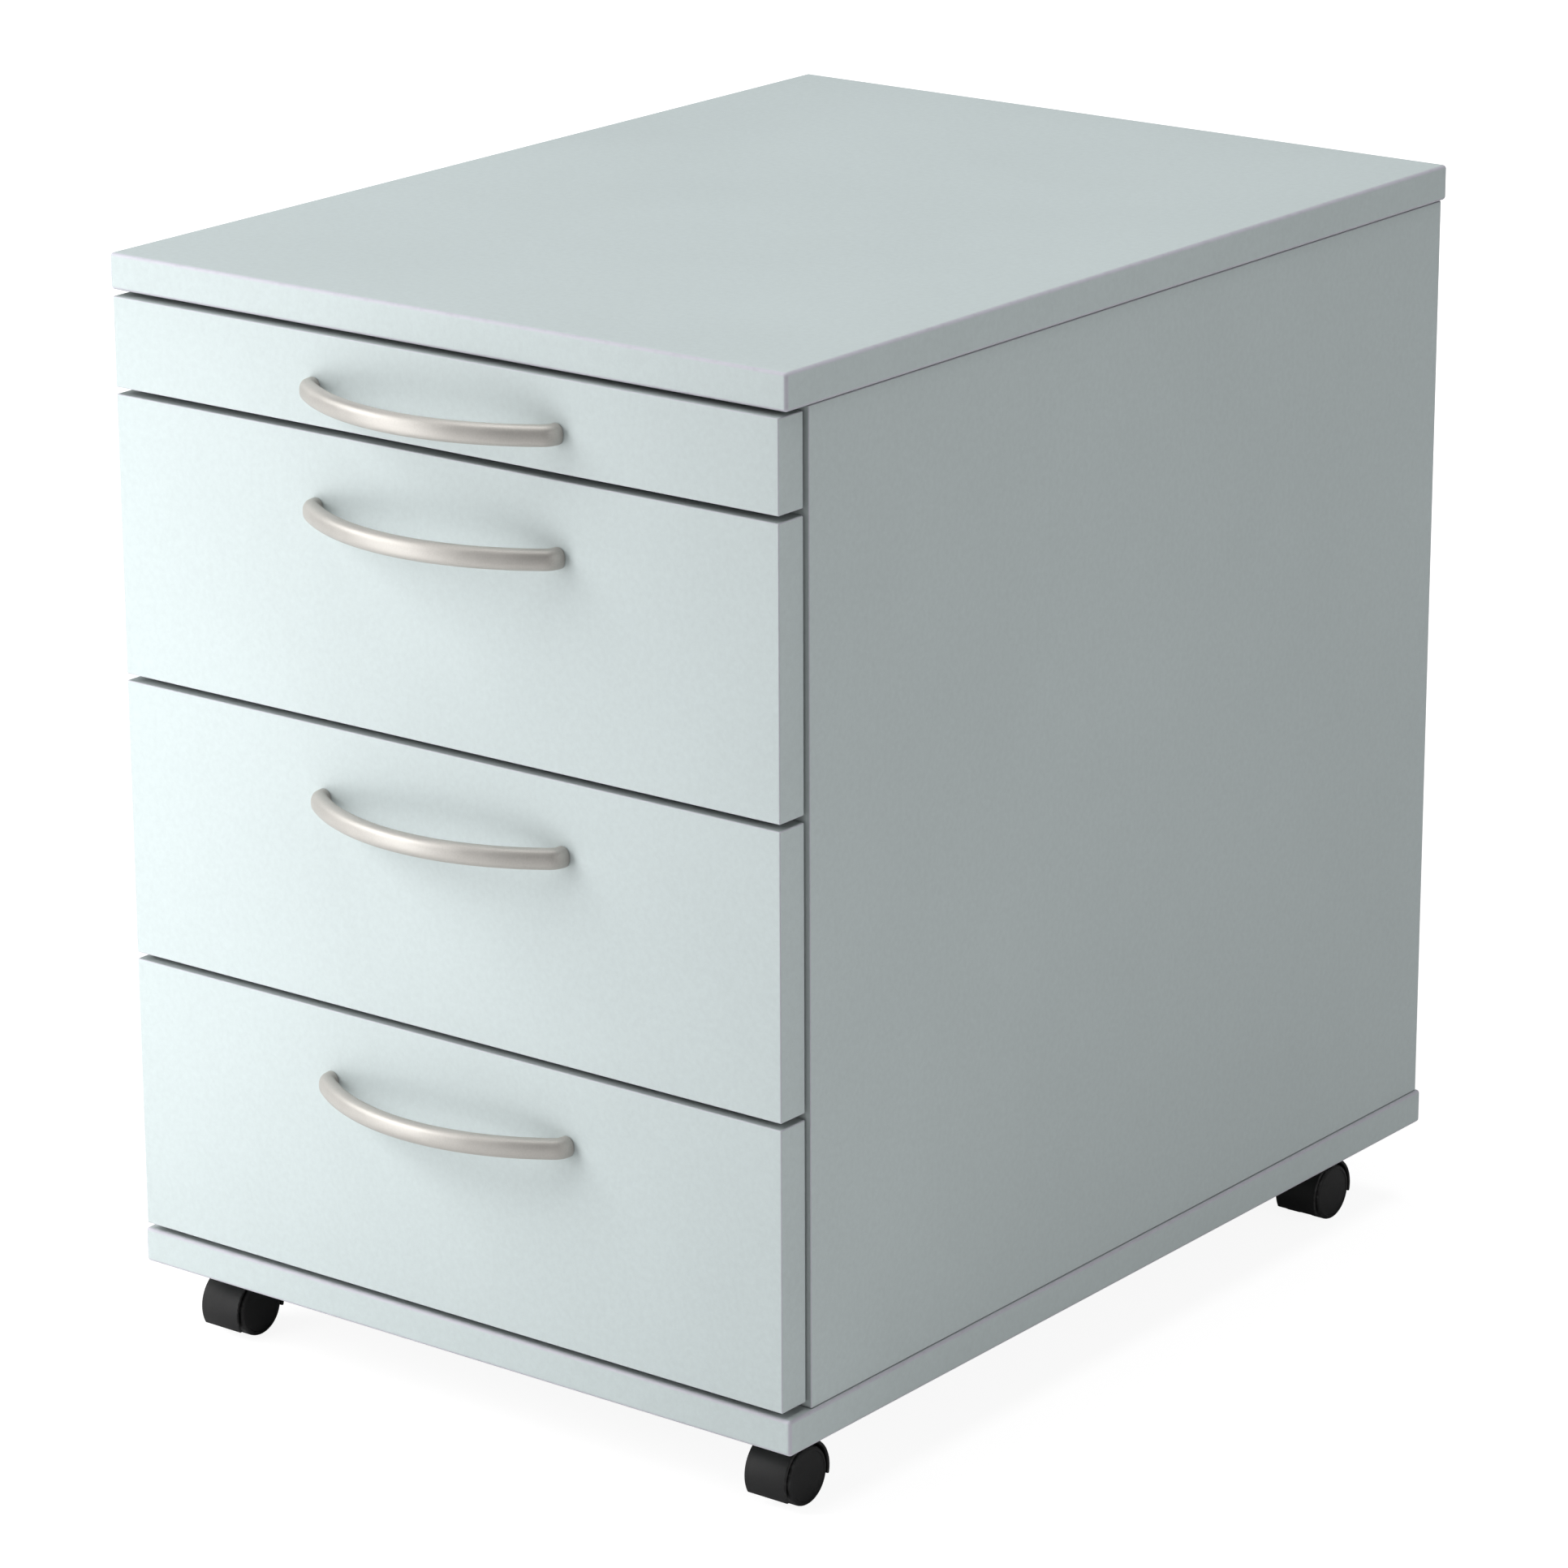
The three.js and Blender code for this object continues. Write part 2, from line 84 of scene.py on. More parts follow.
def signed_volume(points, groups):
    """Sum over all faces, cut into fans, of the tetrahedra that they make with the middle point."""
    middle = points.mean(0)
    volume = 0.0
    for group in groups:
        first = points[group[:, :1]] - middle
        fan = np.cross(points[group[:, 1:-1]] - middle, points[group[:, 2:]] - middle)
        volume += float((first * fan).sum())
    return volume


class Surface:
    """Closed shells gathered into one mesh, with a mask of their softened edges."""

    def __init__(self):
        """Starts with no points and no faces."""
        self.points, self.faces, self.masks, self.count = [], [], [], 0

    def add(self, points, groups, mask=None):
        """Adds one shell, turned right side out; mask is 0 to 1 for each point."""
        points = np.asarray(points, float).reshape(-1, 3)
        if signed_volume(points, groups) < 0:
            groups = [group[:, ::-1] for group in groups]
        self.points.append(points)
        self.faces += [face for group in groups for face in (group + self.count).tolist()]
        self.masks.append(np.zeros(len(points)) if mask is None else np.ravel(mask))
        self.count += len(points)
        return self

    def write(self, name, material, body, replaced=(), slot=None, sharp=40):
        """Makes the Blender object riding on its body; edges over sharp degrees stay crisp."""
        mesh = bpy.data.meshes.new(name)
        mesh.from_pydata((np.concatenate(self.points) * MM).tolist(), [], self.faces)
        mask = mesh.attributes.new("edge", "FLOAT", "POINT")
        mask.data.foreach_set("value", np.concatenate(self.masks).astype(np.float32))
        mesh.polygons.foreach_set("use_smooth", np.ones(len(mesh.polygons), bool))
        mesh.set_sharp_from_angle(angle=math.radians(sharp))
        mesh.materials.append(material)
        mesh.update()
        piece = bpy.data.objects.new(name, mesh)
        bpy.context.scene.collection.objects.link(piece)
        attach(piece, body)
        if replaced:
            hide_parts(*replaced)
        return piece


def tube(rings):
    """Rings of points joined into a tube with a flat face at each end: points and face groups."""
    count, around = rings.shape[:2]
    ends = np.stack([np.arange(around)[::-1], (count - 1) * around + np.arange(around)])
    return rings.reshape(-1, 3), [grid_faces(count, around, close_columns=True), ends]


def rounded_line(corners, radii, closed=True, steps=4):
    """A line whose corners are arcs tangent to both neighbouring sides.

    A point stands on the straight just before and after each arc, so that flat sides shade flat.
    """
    corners = np.asarray(corners, float)
    radii = np.broadcast_to(radii, len(corners))
    line = []
    for k, corner in enumerate(corners):
        if radii[k] <= 0 or (not closed and k in (0, len(corners) - 1)):
            line.append(corner[None])
            continue
        before = corners[k - 1] - corner
        after = corners[(k + 1) % len(corners)] - corner
        room = min(np.linalg.norm(before), np.linalg.norm(after)) / 2
        before, after = before / np.linalg.norm(before), after / np.linalg.norm(after)
        half = math.acos(float(np.clip(before @ after, -1, 1))) / 2
        back = radii[k] / math.tan(half)
        past = min(back + 0.35 * radii[k], max(room, back))
        middle = (before + after) / np.linalg.norm(before + after)
        centre = corner + middle * radii[k] / math.sin(half)
        start, end = corner + before * back - centre, corner + after * back - centre
        first = math.atan2(start[1], start[0])
        swing = (math.atan2(end[1], end[0]) - first + math.pi) % (2 * math.pi) - math.pi
        angles = first + swing * np.linspace(0, 1, steps + 1)
        arc = centre + radii[k] * np.stack([np.cos(angles), np.sin(angles)], -1)
        line += [corner + before[None] * past, arc, corner + after[None] * past]
    line = np.concatenate(line)
    gaps = np.linalg.norm(line - np.roll(line, 1, axis=0), axis=1)
    kept = gaps > 1e-4
    kept[0] = kept[0] or not closed
    return line[kept]


def line_normals(line, closed=True):
    """Unit normals to the right of a line, from the step between each point's neighbours."""
    if closed:
        step = np.roll(line, -1, axis=0) - np.roll(line, 1, axis=0)
    else:
        step = np.gradient(line, axis=0)
    step = step / np.linalg.norm(step, axis=1, keepdims=True)
    return np.stack([step[:, 1], -step[:, 0]], -1)


def outline_area(line):
    """The area inside a closed line: more than zero when it runs anticlockwise."""
    after = np.roll(line, -1, axis=0)
    return float((line[:, 0] * after[:, 1] - after[:, 0] * line[:, 1]).sum()) / 2


def folded_sheet(corners, thickness, bend):
    """The outline of a sheet folded along a line of corners: the line moved half the thickness
    each way, with the bends rounded at the middle of the sheet."""
    line = rounded_line(corners, bend, closed=False, steps=6)
    normals = line_normals(line, closed=False) * thickness / 2
    return np.concatenate([line + normals, (line - normals)[::-1]])


def eased_ends(low, high, radius, steps=3):
    """Stations from low to high and how far an outline shrinks at each: a quarter arc at both ends,
    with one more station past each arc so that the long sides shade straight."""
    turn = np.linspace(0, math.pi / 2, steps + 1)
    rise, shrink = radius * (1 - np.cos(turn)), radius * (1 - np.sin(turn))
    rise, shrink = np.append(rise, radius * 1.5), np.append(shrink, 0)
    return np.concatenate([low + rise, (high - rise)[::-1]]), np.concatenate([shrink, shrink[::-1]])


def prism(outline, low, high, axes, ease=0.0):
    """An outline carried from low to high with eased ends.

    axes names where its first and second coordinates and the extrusion go, such as "xzy".
    """
    outline = np.asarray(outline, float)
    outward = line_normals(outline) * (1 if outline_area(outline) > 0 else -1)
    if ease > 0:
        stations, shrink = eased_ends(low, high, ease)
    else:
        stations, shrink = np.array([low, high]), np.zeros(2)
    flat = outline[None] - outward[None] * shrink[:, None, None]
    along = np.broadcast_to(stations[:, None, None], (*flat.shape[:2], 1))
    rings = np.concatenate([flat, along], axis=-1)
    return tube(rings[..., [axes.index(axis) for axis in "xyz"]])


# where a shape's two sideways coordinates and its coordinate along the axis come from
AXIS_ORDER = {"x": [2, 0, 1], "y": [1, 2, 0], "z": [0, 1, 2]}


def turned(profile, centre, axis, steps=64, closed=False):
    """A profile of (radius, distance along the axis) pairs turned about an axis: "x", "y" or "z"."""
    profile = np.asarray(profile, float)
    turn = np.linspace(0, 2 * math.pi, steps, endpoint=False)[None, :]
    radius, along = profile[:, :1], profile[:, 1:] + 0 * turn
    rings = np.stack([radius * np.cos(turn), radius * np.sin(turn), along], axis=-1)
    rings = rings[..., AXIS_ORDER[axis]] + np.asarray(centre, float)
    if closed:
        return rings.reshape(-1, 3), [grid_faces(len(profile), steps, True, True)]
    return tube(rings)


def soft_lines(low, high, radius, steps):
    """Grid lines over a rounded side: an arc's points spaced by the tangent of up to 45 degrees at
    both ends, then one line a little inside each arc."""
    reach = radius * np.tan(np.linspace(0, math.pi / 4, steps + 1))
    inner = radius * 0.4
    start = np.append(low + radius - reach[::-1], low + radius + inner)
    end = np.append(high - radius - inner, high - radius + reach)
    return np.concatenate([start, end])


def rounded_box(low, high, radius, steps=4):
    """A box with rounded edges: each point of a box's grid is drawn onto a ball rolled inside.

    The nearest point of the inner box, smaller by the radius on every side, is the ball's centre,
    and the surface lies one radius from it towards the grid point. The mask marks the roundings.
    """
    low, high = np.asarray(low, float), np.asarray(high, float)
    lines = [soft_lines(low[a], high[a], radius, steps) for a in range(3)]
    points, quads, count = [], [], 0
    for axis in range(3):
        u, v = (axis + 1) % 3, (axis + 2) % 3
        for value, forward in ((high[axis], True), (low[axis], False)):
            grid = np.empty((len(lines[u]), len(lines[v]), 3))
            grid[..., axis] = value
            grid[..., u], grid[..., v] = np.meshgrid(lines[u], lines[v], indexing="ij")
            faces = grid_faces(len(lines[u]), len(lines[v])) + count
            quads.append(faces if forward else faces[:, ::-1])
            points.append(grid.reshape(-1, 3))
            count += len(points[-1])
    points, quads = np.concatenate(points), np.concatenate(quads)
    centre = np.clip(points, low + radius, high - radius)
    way = points - centre
    way /= np.linalg.norm(way, axis=1, keepdims=True)
    points = centre + way * radius
    mask = np.clip((1 - np.abs(way).max(1)) / 0.1, 0, 1)
    _, first, index = np.unique(
        np.round(points * 1e4).astype(np.int64), axis=0, return_index=True, return_inverse=True
    )
    return points[first], [index.ravel()[quads]], mask[first]


def smooth_step(value):
    """A step from 0 to 1 with level ends: three times the square less twice the cube."""
    value = np.clip(value, 0, 1)
    return value * value * (3 - 2 * value)


SCREW_HEAD = 3.6  # radius of a pan head
SCREW_RISE = 1.3
SLOT_HALF = 0.75  # half the width of a slot of the cross
SLOT_REACH = 2.2  # from the middle to a slot's end
SLOT_DEPTH = 0.85


def screw_head(centre, axis, facing):
    """A pan head with a cross recess on a polar grid.

    Its height is a flattened dome less a cross: two slots whose walls are smooth steps and that get
    shallower outwards. facing is 1 or -1, the way it looks along the axis.
    """
    around = np.linspace(0, 2 * math.pi, 48, endpoint=False)[None, :]
    radius = SCREW_HEAD * np.linspace(0.03, 1, 15)[:, None]
    a, b = radius * np.cos(around), radius * np.sin(around)
    dome = SCREW_RISE * (0.35 + 0.65 * np.sqrt(1 - 0.98 * (radius / SCREW_HEAD) ** 2)) + 0 * around
    narrow, long = np.minimum(abs(a), abs(b)), np.maximum(abs(a), abs(b))
    slot = smooth_step((SLOT_HALF - narrow) / 0.4) * smooth_step((SLOT_REACH - long) / 0.5)
    height = dome - SLOT_DEPTH * slot * (1 - 0.25 * long)
    top = np.stack([a, b, height], axis=-1)
    foot = top[-1:] * [1, 1, 0] - [0, 0, 0.3]
    rings = np.concatenate([top, foot]) * [1, 1, facing]
    return tube(rings[..., AXIS_ORDER[axis]] + np.asarray(centre, float))


# ---- shader groups ----


def new_group(name, inputs, outputs):
    """An empty shader group: float inputs with their defaults, and float outputs."""
    group = bpy.data.node_groups.new(name, "ShaderNodeTree")
    for label, default in inputs.items():
        socket = group.interface.new_socket(label, in_out="INPUT", socket_type="NodeSocketFloat")
        socket.default_value = default
    for label in outputs:
        group.interface.new_socket(label, in_out="OUTPUT", socket_type="NodeSocketFloat")
    return group, group.nodes.new("NodeGroupInput"), group.nodes.new("NodeGroupOutput")


def feed(tree, socket, value):
    """Sets a socket to a number or links another socket to it."""
    if isinstance(value, (int, float)):
        socket.default_value = value
    else:
        tree.links.new(value, socket)


def maths(tree, operation, a, b=0.0, clamp=False):
    """The result of a Math node on two values, each a number or a socket."""
    node = tree.nodes.new("ShaderNodeMath")
    node.operation = operation
    node.use_clamp = clamp
    feed(tree, node.inputs[0], a)
    feed(tree, node.inputs[1], b)
    return node.outputs[0]


def noise(tree, scale, detail=2.0, roughness=0.5, distortion=0.0, stretch=None):
    """Noise on Object coordinates; scale is in features a metre, a number or a socket."""
    source = tree.nodes.new("ShaderNodeTexCoord").outputs["Object"]
    if stretch:
        mapping = tree.nodes.new("ShaderNodeMapping")
        mapping.inputs["Scale"].default_value = stretch
        tree.links.new(source, mapping.inputs["Vector"])
        source = mapping.outputs["Vector"]
    node = tree.nodes.new("ShaderNodeTexNoise")
    tree.links.new(source, node.inputs["Vector"])
    feed(tree, node.inputs["Scale"], scale)
    feed(tree, node.inputs["Detail"], detail)
    feed(tree, node.inputs["Roughness"], roughness)
    feed(tree, node.inputs["Distortion"], distortion)
    return node.outputs["Fac"]


def spread(tree, value, low, high, to_low, to_high):
    """A clamped map: low to high becomes to_low to to_high."""
    node = tree.nodes.new("ShaderNodeMapRange")
    feed(tree, node.inputs["Value"], value)
    for label, end in zip(("From Min", "From Max", "To Min", "To Max"), (low, high, to_low, to_high)):
        feed(tree, node.inputs[label], end)
    return node.outputs["Result"]


def signed(tree, value):
    """The middle of a noise spread over -1 to 1."""
    return spread(tree, value, 0.3, 0.7, -1.0, 1.0)


def make_pearl_group():
    """Pearl texture of a pressed foil: dimples some millimetres across with finer grit in them.

    Tone rises and falls with the dimples and a slow cloud; Height is for a Bump node.
    """
    inputs = {"Dimples": 300.0, "Grit": 1400.0, "Cloud": 6.0}
    group, given, result = new_group("pearl_texture", inputs, ("Tone", "Height"))
    dimples = signed(group, noise(group, given.outputs["Dimples"], 3.0, 0.55, 0.3))
    grit = signed(group, noise(group, given.outputs["Grit"], 2.0, 0.6))
    cloud = signed(group, noise(group, given.outputs["Cloud"], 3.0, 0.5))
    tone = maths(group, "MULTIPLY", dimples, 0.55)
    tone = maths(group, "ADD", tone, maths(group, "MULTIPLY", grit, 0.25))
    tone = maths(group, "ADD", tone, maths(group, "MULTIPLY", cloud, 0.35))
    height = maths(group, "MULTIPLY", dimples, 0.7)
    height = maths(group, "ADD", height, maths(group, "MULTIPLY", grit, 0.3))
    group.links.new(tone, result.inputs["Tone"])
    group.links.new(height, result.inputs["Height"])
    return group


def make_wear_group():
    """Handling: Edge is the softened edge itself (foil paints its sheen there), Rub a broken line along
    it (also a painted highlight on black plastic), Dust smears on flats.
    """
    inputs = {"Amount": 0.5, "Patches": 120.0}
    group, given, result = new_group("handling_wear", inputs, ("Edge", "Rub", "Dust"))
    edge = group.nodes.new("ShaderNodeAttribute")
    edge.attribute_name = "edge"
    patches = noise(group, given.outputs["Patches"], 4.0, 0.65)
    broken = spread(group, patches, 0.48, 0.66, 0.0, given.outputs["Amount"])
    smears = noise(group, 14.0, 5.0, 0.6, 0.6, stretch=(1.0, 1.0, 0.35))
    group.links.new(edge.outputs["Fac"], result.inputs["Edge"])
    group.links.new(maths(group, "MULTIPLY", edge.outputs["Fac"], broken), result.inputs["Rub"])
    dust = spread(group, smears, 0.5, 0.75, 0.0, given.outputs["Amount"])
    group.links.new(dust, result.inputs["Dust"])
    return group


PEARL = make_pearl_group()
WEAR = make_wear_group()


# ---- materials ----

BOUNCE_LOSS = 0.9  # keeps the narrow gaps between pale boards dark
RUBBED_BAND = 0.82  # tone of an edge band where it is rubbed, against a clean one
RUBBED_COATING = (0.34, 0.34, 0.33)
BOARD_DUST = (0.42, 0.40, 0.37)
PLASTIC_DUST = (0.30, 0.29, 0.27)
COATING_DUST = (0.38, 0.37, 0.34)
SPARK_GRAIN = 2200.0  # features a metre
# heights of the fine textures in metres
PEARL_RELIEF = 0.00004
BLASTED_RELIEF = 0.000012
SPARK_RELIEF = 0.00003
PEEL_RELIEF = 0.00005


def placed(tree, group, **values):
    """A group node with its own values; a value's name is its input's name in small letters."""
    node = tree.nodes.new("ShaderNodeGroup")
    node.node_tree = group
    for label, value in values.items():
        node.inputs[label.capitalize()].default_value = value
    return node.outputs


def mixed(tree, share, colour_a, colour_b):
    """A colour mix; each colour is three numbers or a socket."""
    node = tree.nodes.new("ShaderNodeMix")
    node.data_type = "RGBA"
    feed(tree, node.inputs["Factor"], share)
    colours = [socket for socket in node.inputs if socket.type == "RGBA"]
    for socket, colour in zip(colours, (colour_a, colour_b)):
        if isinstance(colour, tuple):
            socket.default_value = (*colour, 1.0)
        else:
            tree.links.new(colour, socket)
    return next(socket for socket in node.outputs if socket.type == "RGBA")


def toned(tree, colour, tone, swing):
    """The colour made darker and lighter by tone, which runs from -1 to 1, by a swing each way."""
    share = maths(tree, "MULTIPLY_ADD", tone, 0.5, clamp=True)
    share.node.inputs[2].default_value = 0.5
    dark = tuple(part * (1 - swing) for part in colour)
    light = tuple(min(1.0, part * (1 + swing)) for part in colour)
    return mixed(tree, share, dark, light)


def new_material(name, metallic=0.0, specular=0.5):
    """A node material: the material, its tree and its Principled shader."""
    material = bpy.data.materials.new(name)
    material.use_nodes = True
    tree = material.node_tree
    shader = tree.nodes["Principled BSDF"]
    shader.inputs["Metallic"].default_value = metallic
    shader.inputs["Specular IOR Level"].default_value = specular
    return material, tree, shader


def bumped(tree, shader, height, strength, distance):
    """Feeds the shader's normal from a Bump node; distance is the texture's height in metres."""
    bump = tree.nodes.new("ShaderNodeBump")
    bump.inputs["Strength"].default_value = strength
    bump.inputs["Distance"].default_value = distance
    tree.links.new(height, bump.inputs["Height"])
    tree.links.new(bump.outputs["Normal"], shader.inputs["Normal"])


def bounce_shade(tree, share):
    """1 as seen, and less by the share where light bounces off the board onto its neighbours."""
    bounced = tree.nodes.new("ShaderNodeLightPath").outputs["Is Diffuse Ray"]
    return spread(tree, bounced, 0.0, 1.0, 1.0, 1.0 - share)


def darkened(tree, colour, shade):
    """The colour times a shade from 0 to 1."""
    node = tree.nodes.new("ShaderNodeVectorMath")
    node.operation = "SCALE"
    tree.links.new(colour, node.inputs[0])
    tree.links.new(shade, node.inputs["Scale"])
    return node.outputs[0]


def foil_board(name, colour, band_and_sheen_colour):
    """Melamine foil: pearl texture, a painted lilac sheen on the rounded edges over the band's tint,
    faint rubbing along them.
    """
    material, tree, shader = new_material(name, specular=0.4)
    pearl = placed(tree, PEARL, dimples=330.0, grit=1500.0, cloud=7.0)
    wear = placed(tree, WEAR, amount=0.35, patches=160.0)
    face = toned(tree, colour, pearl["Tone"], 0.05)
    # painted sheen: the rounded edges get a lilac tint that stands for the light they catch, partly the
    # edge band's own tint
    painted_edge_sheen = mixed(tree, wear["Edge"], face, band_and_sheen_colour)
    rubbed = mixed(tree, wear["Rub"], painted_edge_sheen, tuple(part * RUBBED_BAND for part in band_and_sheen_colour))
    dust = maths(tree, "MULTIPLY", wear["Dust"], 0.05)
    dusty = mixed(tree, dust, rubbed, BOARD_DUST)
    tree.links.new(darkened(tree, dusty, bounce_shade(tree, BOUNCE_LOSS)), shader.inputs["Base Color"])
    matt = spread(tree, pearl["Height"], -1.0, 1.0, 0.50, 0.60)
    gloss = maths(tree, "SUBTRACT", matt, maths(tree, "MULTIPLY", wear["Edge"], 0.12))
    tree.links.new(gloss, shader.inputs["Roughness"])
    bumped(tree, shader, pearl["Height"], 0.35, PEARL_RELIEF)
    return material


def satin_metal(name, colour, roughness, grain, metallic=1.0):
    """Blasted and plated metal: microscopic grain, slow cloudiness, slightly polished patches."""
    material, tree, shader = new_material(name, metallic)
    fine = noise(tree, grain, 3.0, 0.6)
    cloud = noise(tree, 45.0, 4.0, 0.55)
    speck = signed(tree, noise(tree, grain * 0.5, 2.0, 0.6))
    tone = maths(tree, "ADD", signed(tree, cloud), speck)
    tree.links.new(toned(tree, colour, tone, 0.045), shader.inputs["Base Color"])
    patches = spread(tree, cloud, 0.3, 0.7, roughness - 0.04, roughness + 0.05)
    grainy = maths(tree, "ADD", patches, spread(tree, fine, 0.3, 0.7, -0.03, 0.03))
    tree.links.new(grainy, shader.inputs["Roughness"])
    bumped(tree, shader, fine, 0.5, BLASTED_RELIEF)
    return material


def moulded_plastic(name, colour, roughness, rub_and_highlight_colour):
    """Spark-eroded plastic: fine grain in bump and gloss, edges rubbed paler, partly a painted highlight,
    a little dust.
    """
    material, tree, shader = new_material(name, specular=0.45)
    sparks = noise(tree, SPARK_GRAIN, 2.0, 0.55)
    flow = signed(tree, noise(tree, 160.0, 3.0, 0.5))
    wear = placed(tree, WEAR, amount=0.55, patches=320.0)
    # the edges' second colour is rubbing and, on the black hood's rims, a painted highlight
    rubbed = mixed(tree, wear["Rub"], toned(tree, colour, flow, 0.12), rub_and_highlight_colour)
    dust = maths(tree, "MULTIPLY", wear["Dust"], 0.08)
    tree.links.new(mixed(tree, dust, rubbed, PLASTIC_DUST), shader.inputs["Base Color"])
    matt = spread(tree, sparks, 0.3, 0.7, roughness - 0.05, roughness + 0.06)
    gloss = maths(tree, "SUBTRACT", matt, maths(tree, "MULTIPLY", wear["Rub"], 0.15))
    tree.links.new(gloss, shader.inputs["Roughness"])
    bumped(tree, shader, sparks, 0.45, SPARK_RELIEF)
    return material


def coated_sheet(name, colour, roughness):
    """Powder-coated sheet: orange peel in the bump, small tone changes, edges polished by use."""
    material, tree, shader = new_material(name)
    peel = noise(tree, 520.0, 2.0, 0.45)
    speck = signed(tree, noise(tree, 3200.0, 1.0, 0.5))
    wear = placed(tree, WEAR, amount=0.5, patches=210.0)
    rubbed = mixed(tree, wear["Rub"], toned(tree, colour, speck, 0.05), RUBBED_COATING)
    dust = maths(tree, "MULTIPLY", wear["Dust"], 0.06)
    tree.links.new(mixed(tree, dust, rubbed, COATING_DUST), shader.inputs["Base Color"])
    gloss = spread(tree, peel, 0.3, 0.7, roughness - 0.05, roughness + 0.07)
    tree.links.new(gloss, shader.inputs["Roughness"])
    bumped(tree, shader, peel, 0.4, PEEL_RELIEF)
    return material


# the second colour is the edge band's tint with a painted lilac sheen, put on the rounded edges only
FOIL = foil_board("light_grey_melamine", (0.628, 0.705, 0.709), (0.63, 0.63, 0.70))
NICKEL = satin_metal("satin_nickel", (0.56, 0.539, 0.507), 0.50, 2600.0, metallic=0.55)
ZINC = satin_metal("zinc_plated_steel", (0.55, 0.56, 0.57), 0.38, 1800.0)
# its much paler edge colour is rubbing and a painted highlight along the hood's rims
BLACK = moulded_plastic("black_nylon", (0.0075, 0.0075, 0.008), 0.56, (0.07, 0.07, 0.07))
CHARCOAL = moulded_plastic("charcoal_tray", (0.045, 0.047, 0.050), 0.50, (0.12, 0.12, 0.12))
NYLON = moulded_plastic("natural_nylon", (0.78, 0.77, 0.72), 0.42, (0.60, 0.58, 0.52))
COATED = coated_sheet("coated_steel", (0.42, 0.435, 0.44), 0.42)


# ---- boards ----

BAND_RADIUS = {"top_panel": 2.1, "bottom_panel": 2.1}
BOARD_RADIUS = 0.6


def make_board(node, body):
    """A board with rounded edges, wide on the top and bottom panels and small on the others."""
    low, high = box_of(node)
    points, groups, mask = rounded_box(low, high, BAND_RADIUS.get(node, BOARD_RADIUS))
    Surface().add(points, groups, mask).write(f"{node}_board", FOIL, body, [node], "melamine")


for board in ("top_panel", "bottom_panel", "left_side", "right_side", "back_panel"):
    make_board(board, "root")
for number in DRAWERS:
    make_board(f"front_{number}", f"drawer_{number}")


# ---- handles ----

HANDLE_STEM = 0.6
HANDLE_BEND = 7.4
HANDLE_SWEEP = math.radians(35.5)
HANDLE_TALL = 10.8
HANDLE_THICK = 9.0
SECTION_POWER = 2.3


def handle_line(foot):
    """Centre line as (x, out) pairs and unit tangents: a stem, a bend and half a bow, mirrored.

    The stem runs straight out. The bend is an arc that stops short of a right angle by the sweep.
    The bow is one arc that starts at the bend's slope and is level in the middle.
    """
    turn = np.linspace(0, math.pi / 2 - HANDLE_SWEEP, 21)
    bend_x = foot - HANDLE_BEND * (1 - np.cos(turn))
    bend_out = HANDLE_STEM + HANDLE_BEND * np.sin(turn)
    bow_radius = bend_x[-1] / math.sin(HANDLE_SWEEP)
    slope = HANDLE_SWEEP * np.linspace(1, 0, 41)[1:]
    bow_out = bend_out[-1] + bow_radius * (1 - math.cos(HANDLE_SWEEP))
    bow = np.stack([bow_radius * np.sin(slope), bow_out - bow_radius * (1 - np.cos(slope))], -1)
    stem_out = HANDLE_STEM * np.linspace(0, 0.9, 4)
    stem = np.stack([np.full(4, foot), stem_out], -1)
    half = np.concatenate([stem, np.stack([bend_x, bend_out], -1), bow])
    lean = np.concatenate([np.zeros(4), turn, math.pi / 2 - slope])
    tangent = np.stack([-np.sin(lean), np.cos(lean)], -1)
    return (
        np.concatenate([half, half[-2::-1] * [-1, 1]]),
        np.concatenate([tangent, tangent[-2::-1] * [1, -1]]),
    )


def make_handle(number):
    """A superellipse section carried along the handle's centre line."""
    low, high = box_of(f"handle_{number}")
    line, tangent = handle_line(high[0] - HANDLE_THICK / 2)
    around = np.linspace(0, 2 * math.pi, 48, endpoint=False)
    side, rise = np.cos(around), np.sin(around)
    side = np.sign(side) * abs(side) ** (2 / SECTION_POWER) * HANDLE_THICK / 2
    rise = np.sign(rise) * abs(rise) ** (2 / SECTION_POWER) * HANDLE_TALL / 2
    x = line[:, :1] + tangent[:, 1:] * side
    y = high[1] - line[:, 1:] + tangent[:, :1] * side
    z = (low[2] + high[2]) / 2 + rise + 0 * x
    shell = Surface().add(*tube(np.stack([x, y, z], axis=-1)))
    body = f"drawer_{number}"
    shell.write(f"bow_handle_{number}", NICKEL, body, [f"handle_{number}"], "satin_nickel")


for number in DRAWERS:
    make_handle(number)


# ---- casters ----

WHEEL_RADIUS = 15.5
WHEEL_WIDTH = 9.7
HOOD_HALF = 12.8
HOOD_INNER = 17.0
HOOD_OUTER = 18.7
HOOD_EASE = 0.8
HOOD_FRONT_END = math.radians(211.5)
HOOD_REAR_END = math.radians(-15)
HOOD_END_EASE = 0.9  # how much of its rounding the section loses at both ends
HOOD_STATIONS = 72  # between the eased ends
WEB_HALF = 3.5
WEB_OVERLAP = 0.6  # how far the web runs into the skirt
WEB_SETBACK = 0.03  # radians from the skirt's ends
BOSS_RADIUS = 8.0
TREAD_EDGE = 14.4  # radius at which a wheel's worn tread starts
TREAD_FADE = 0.8


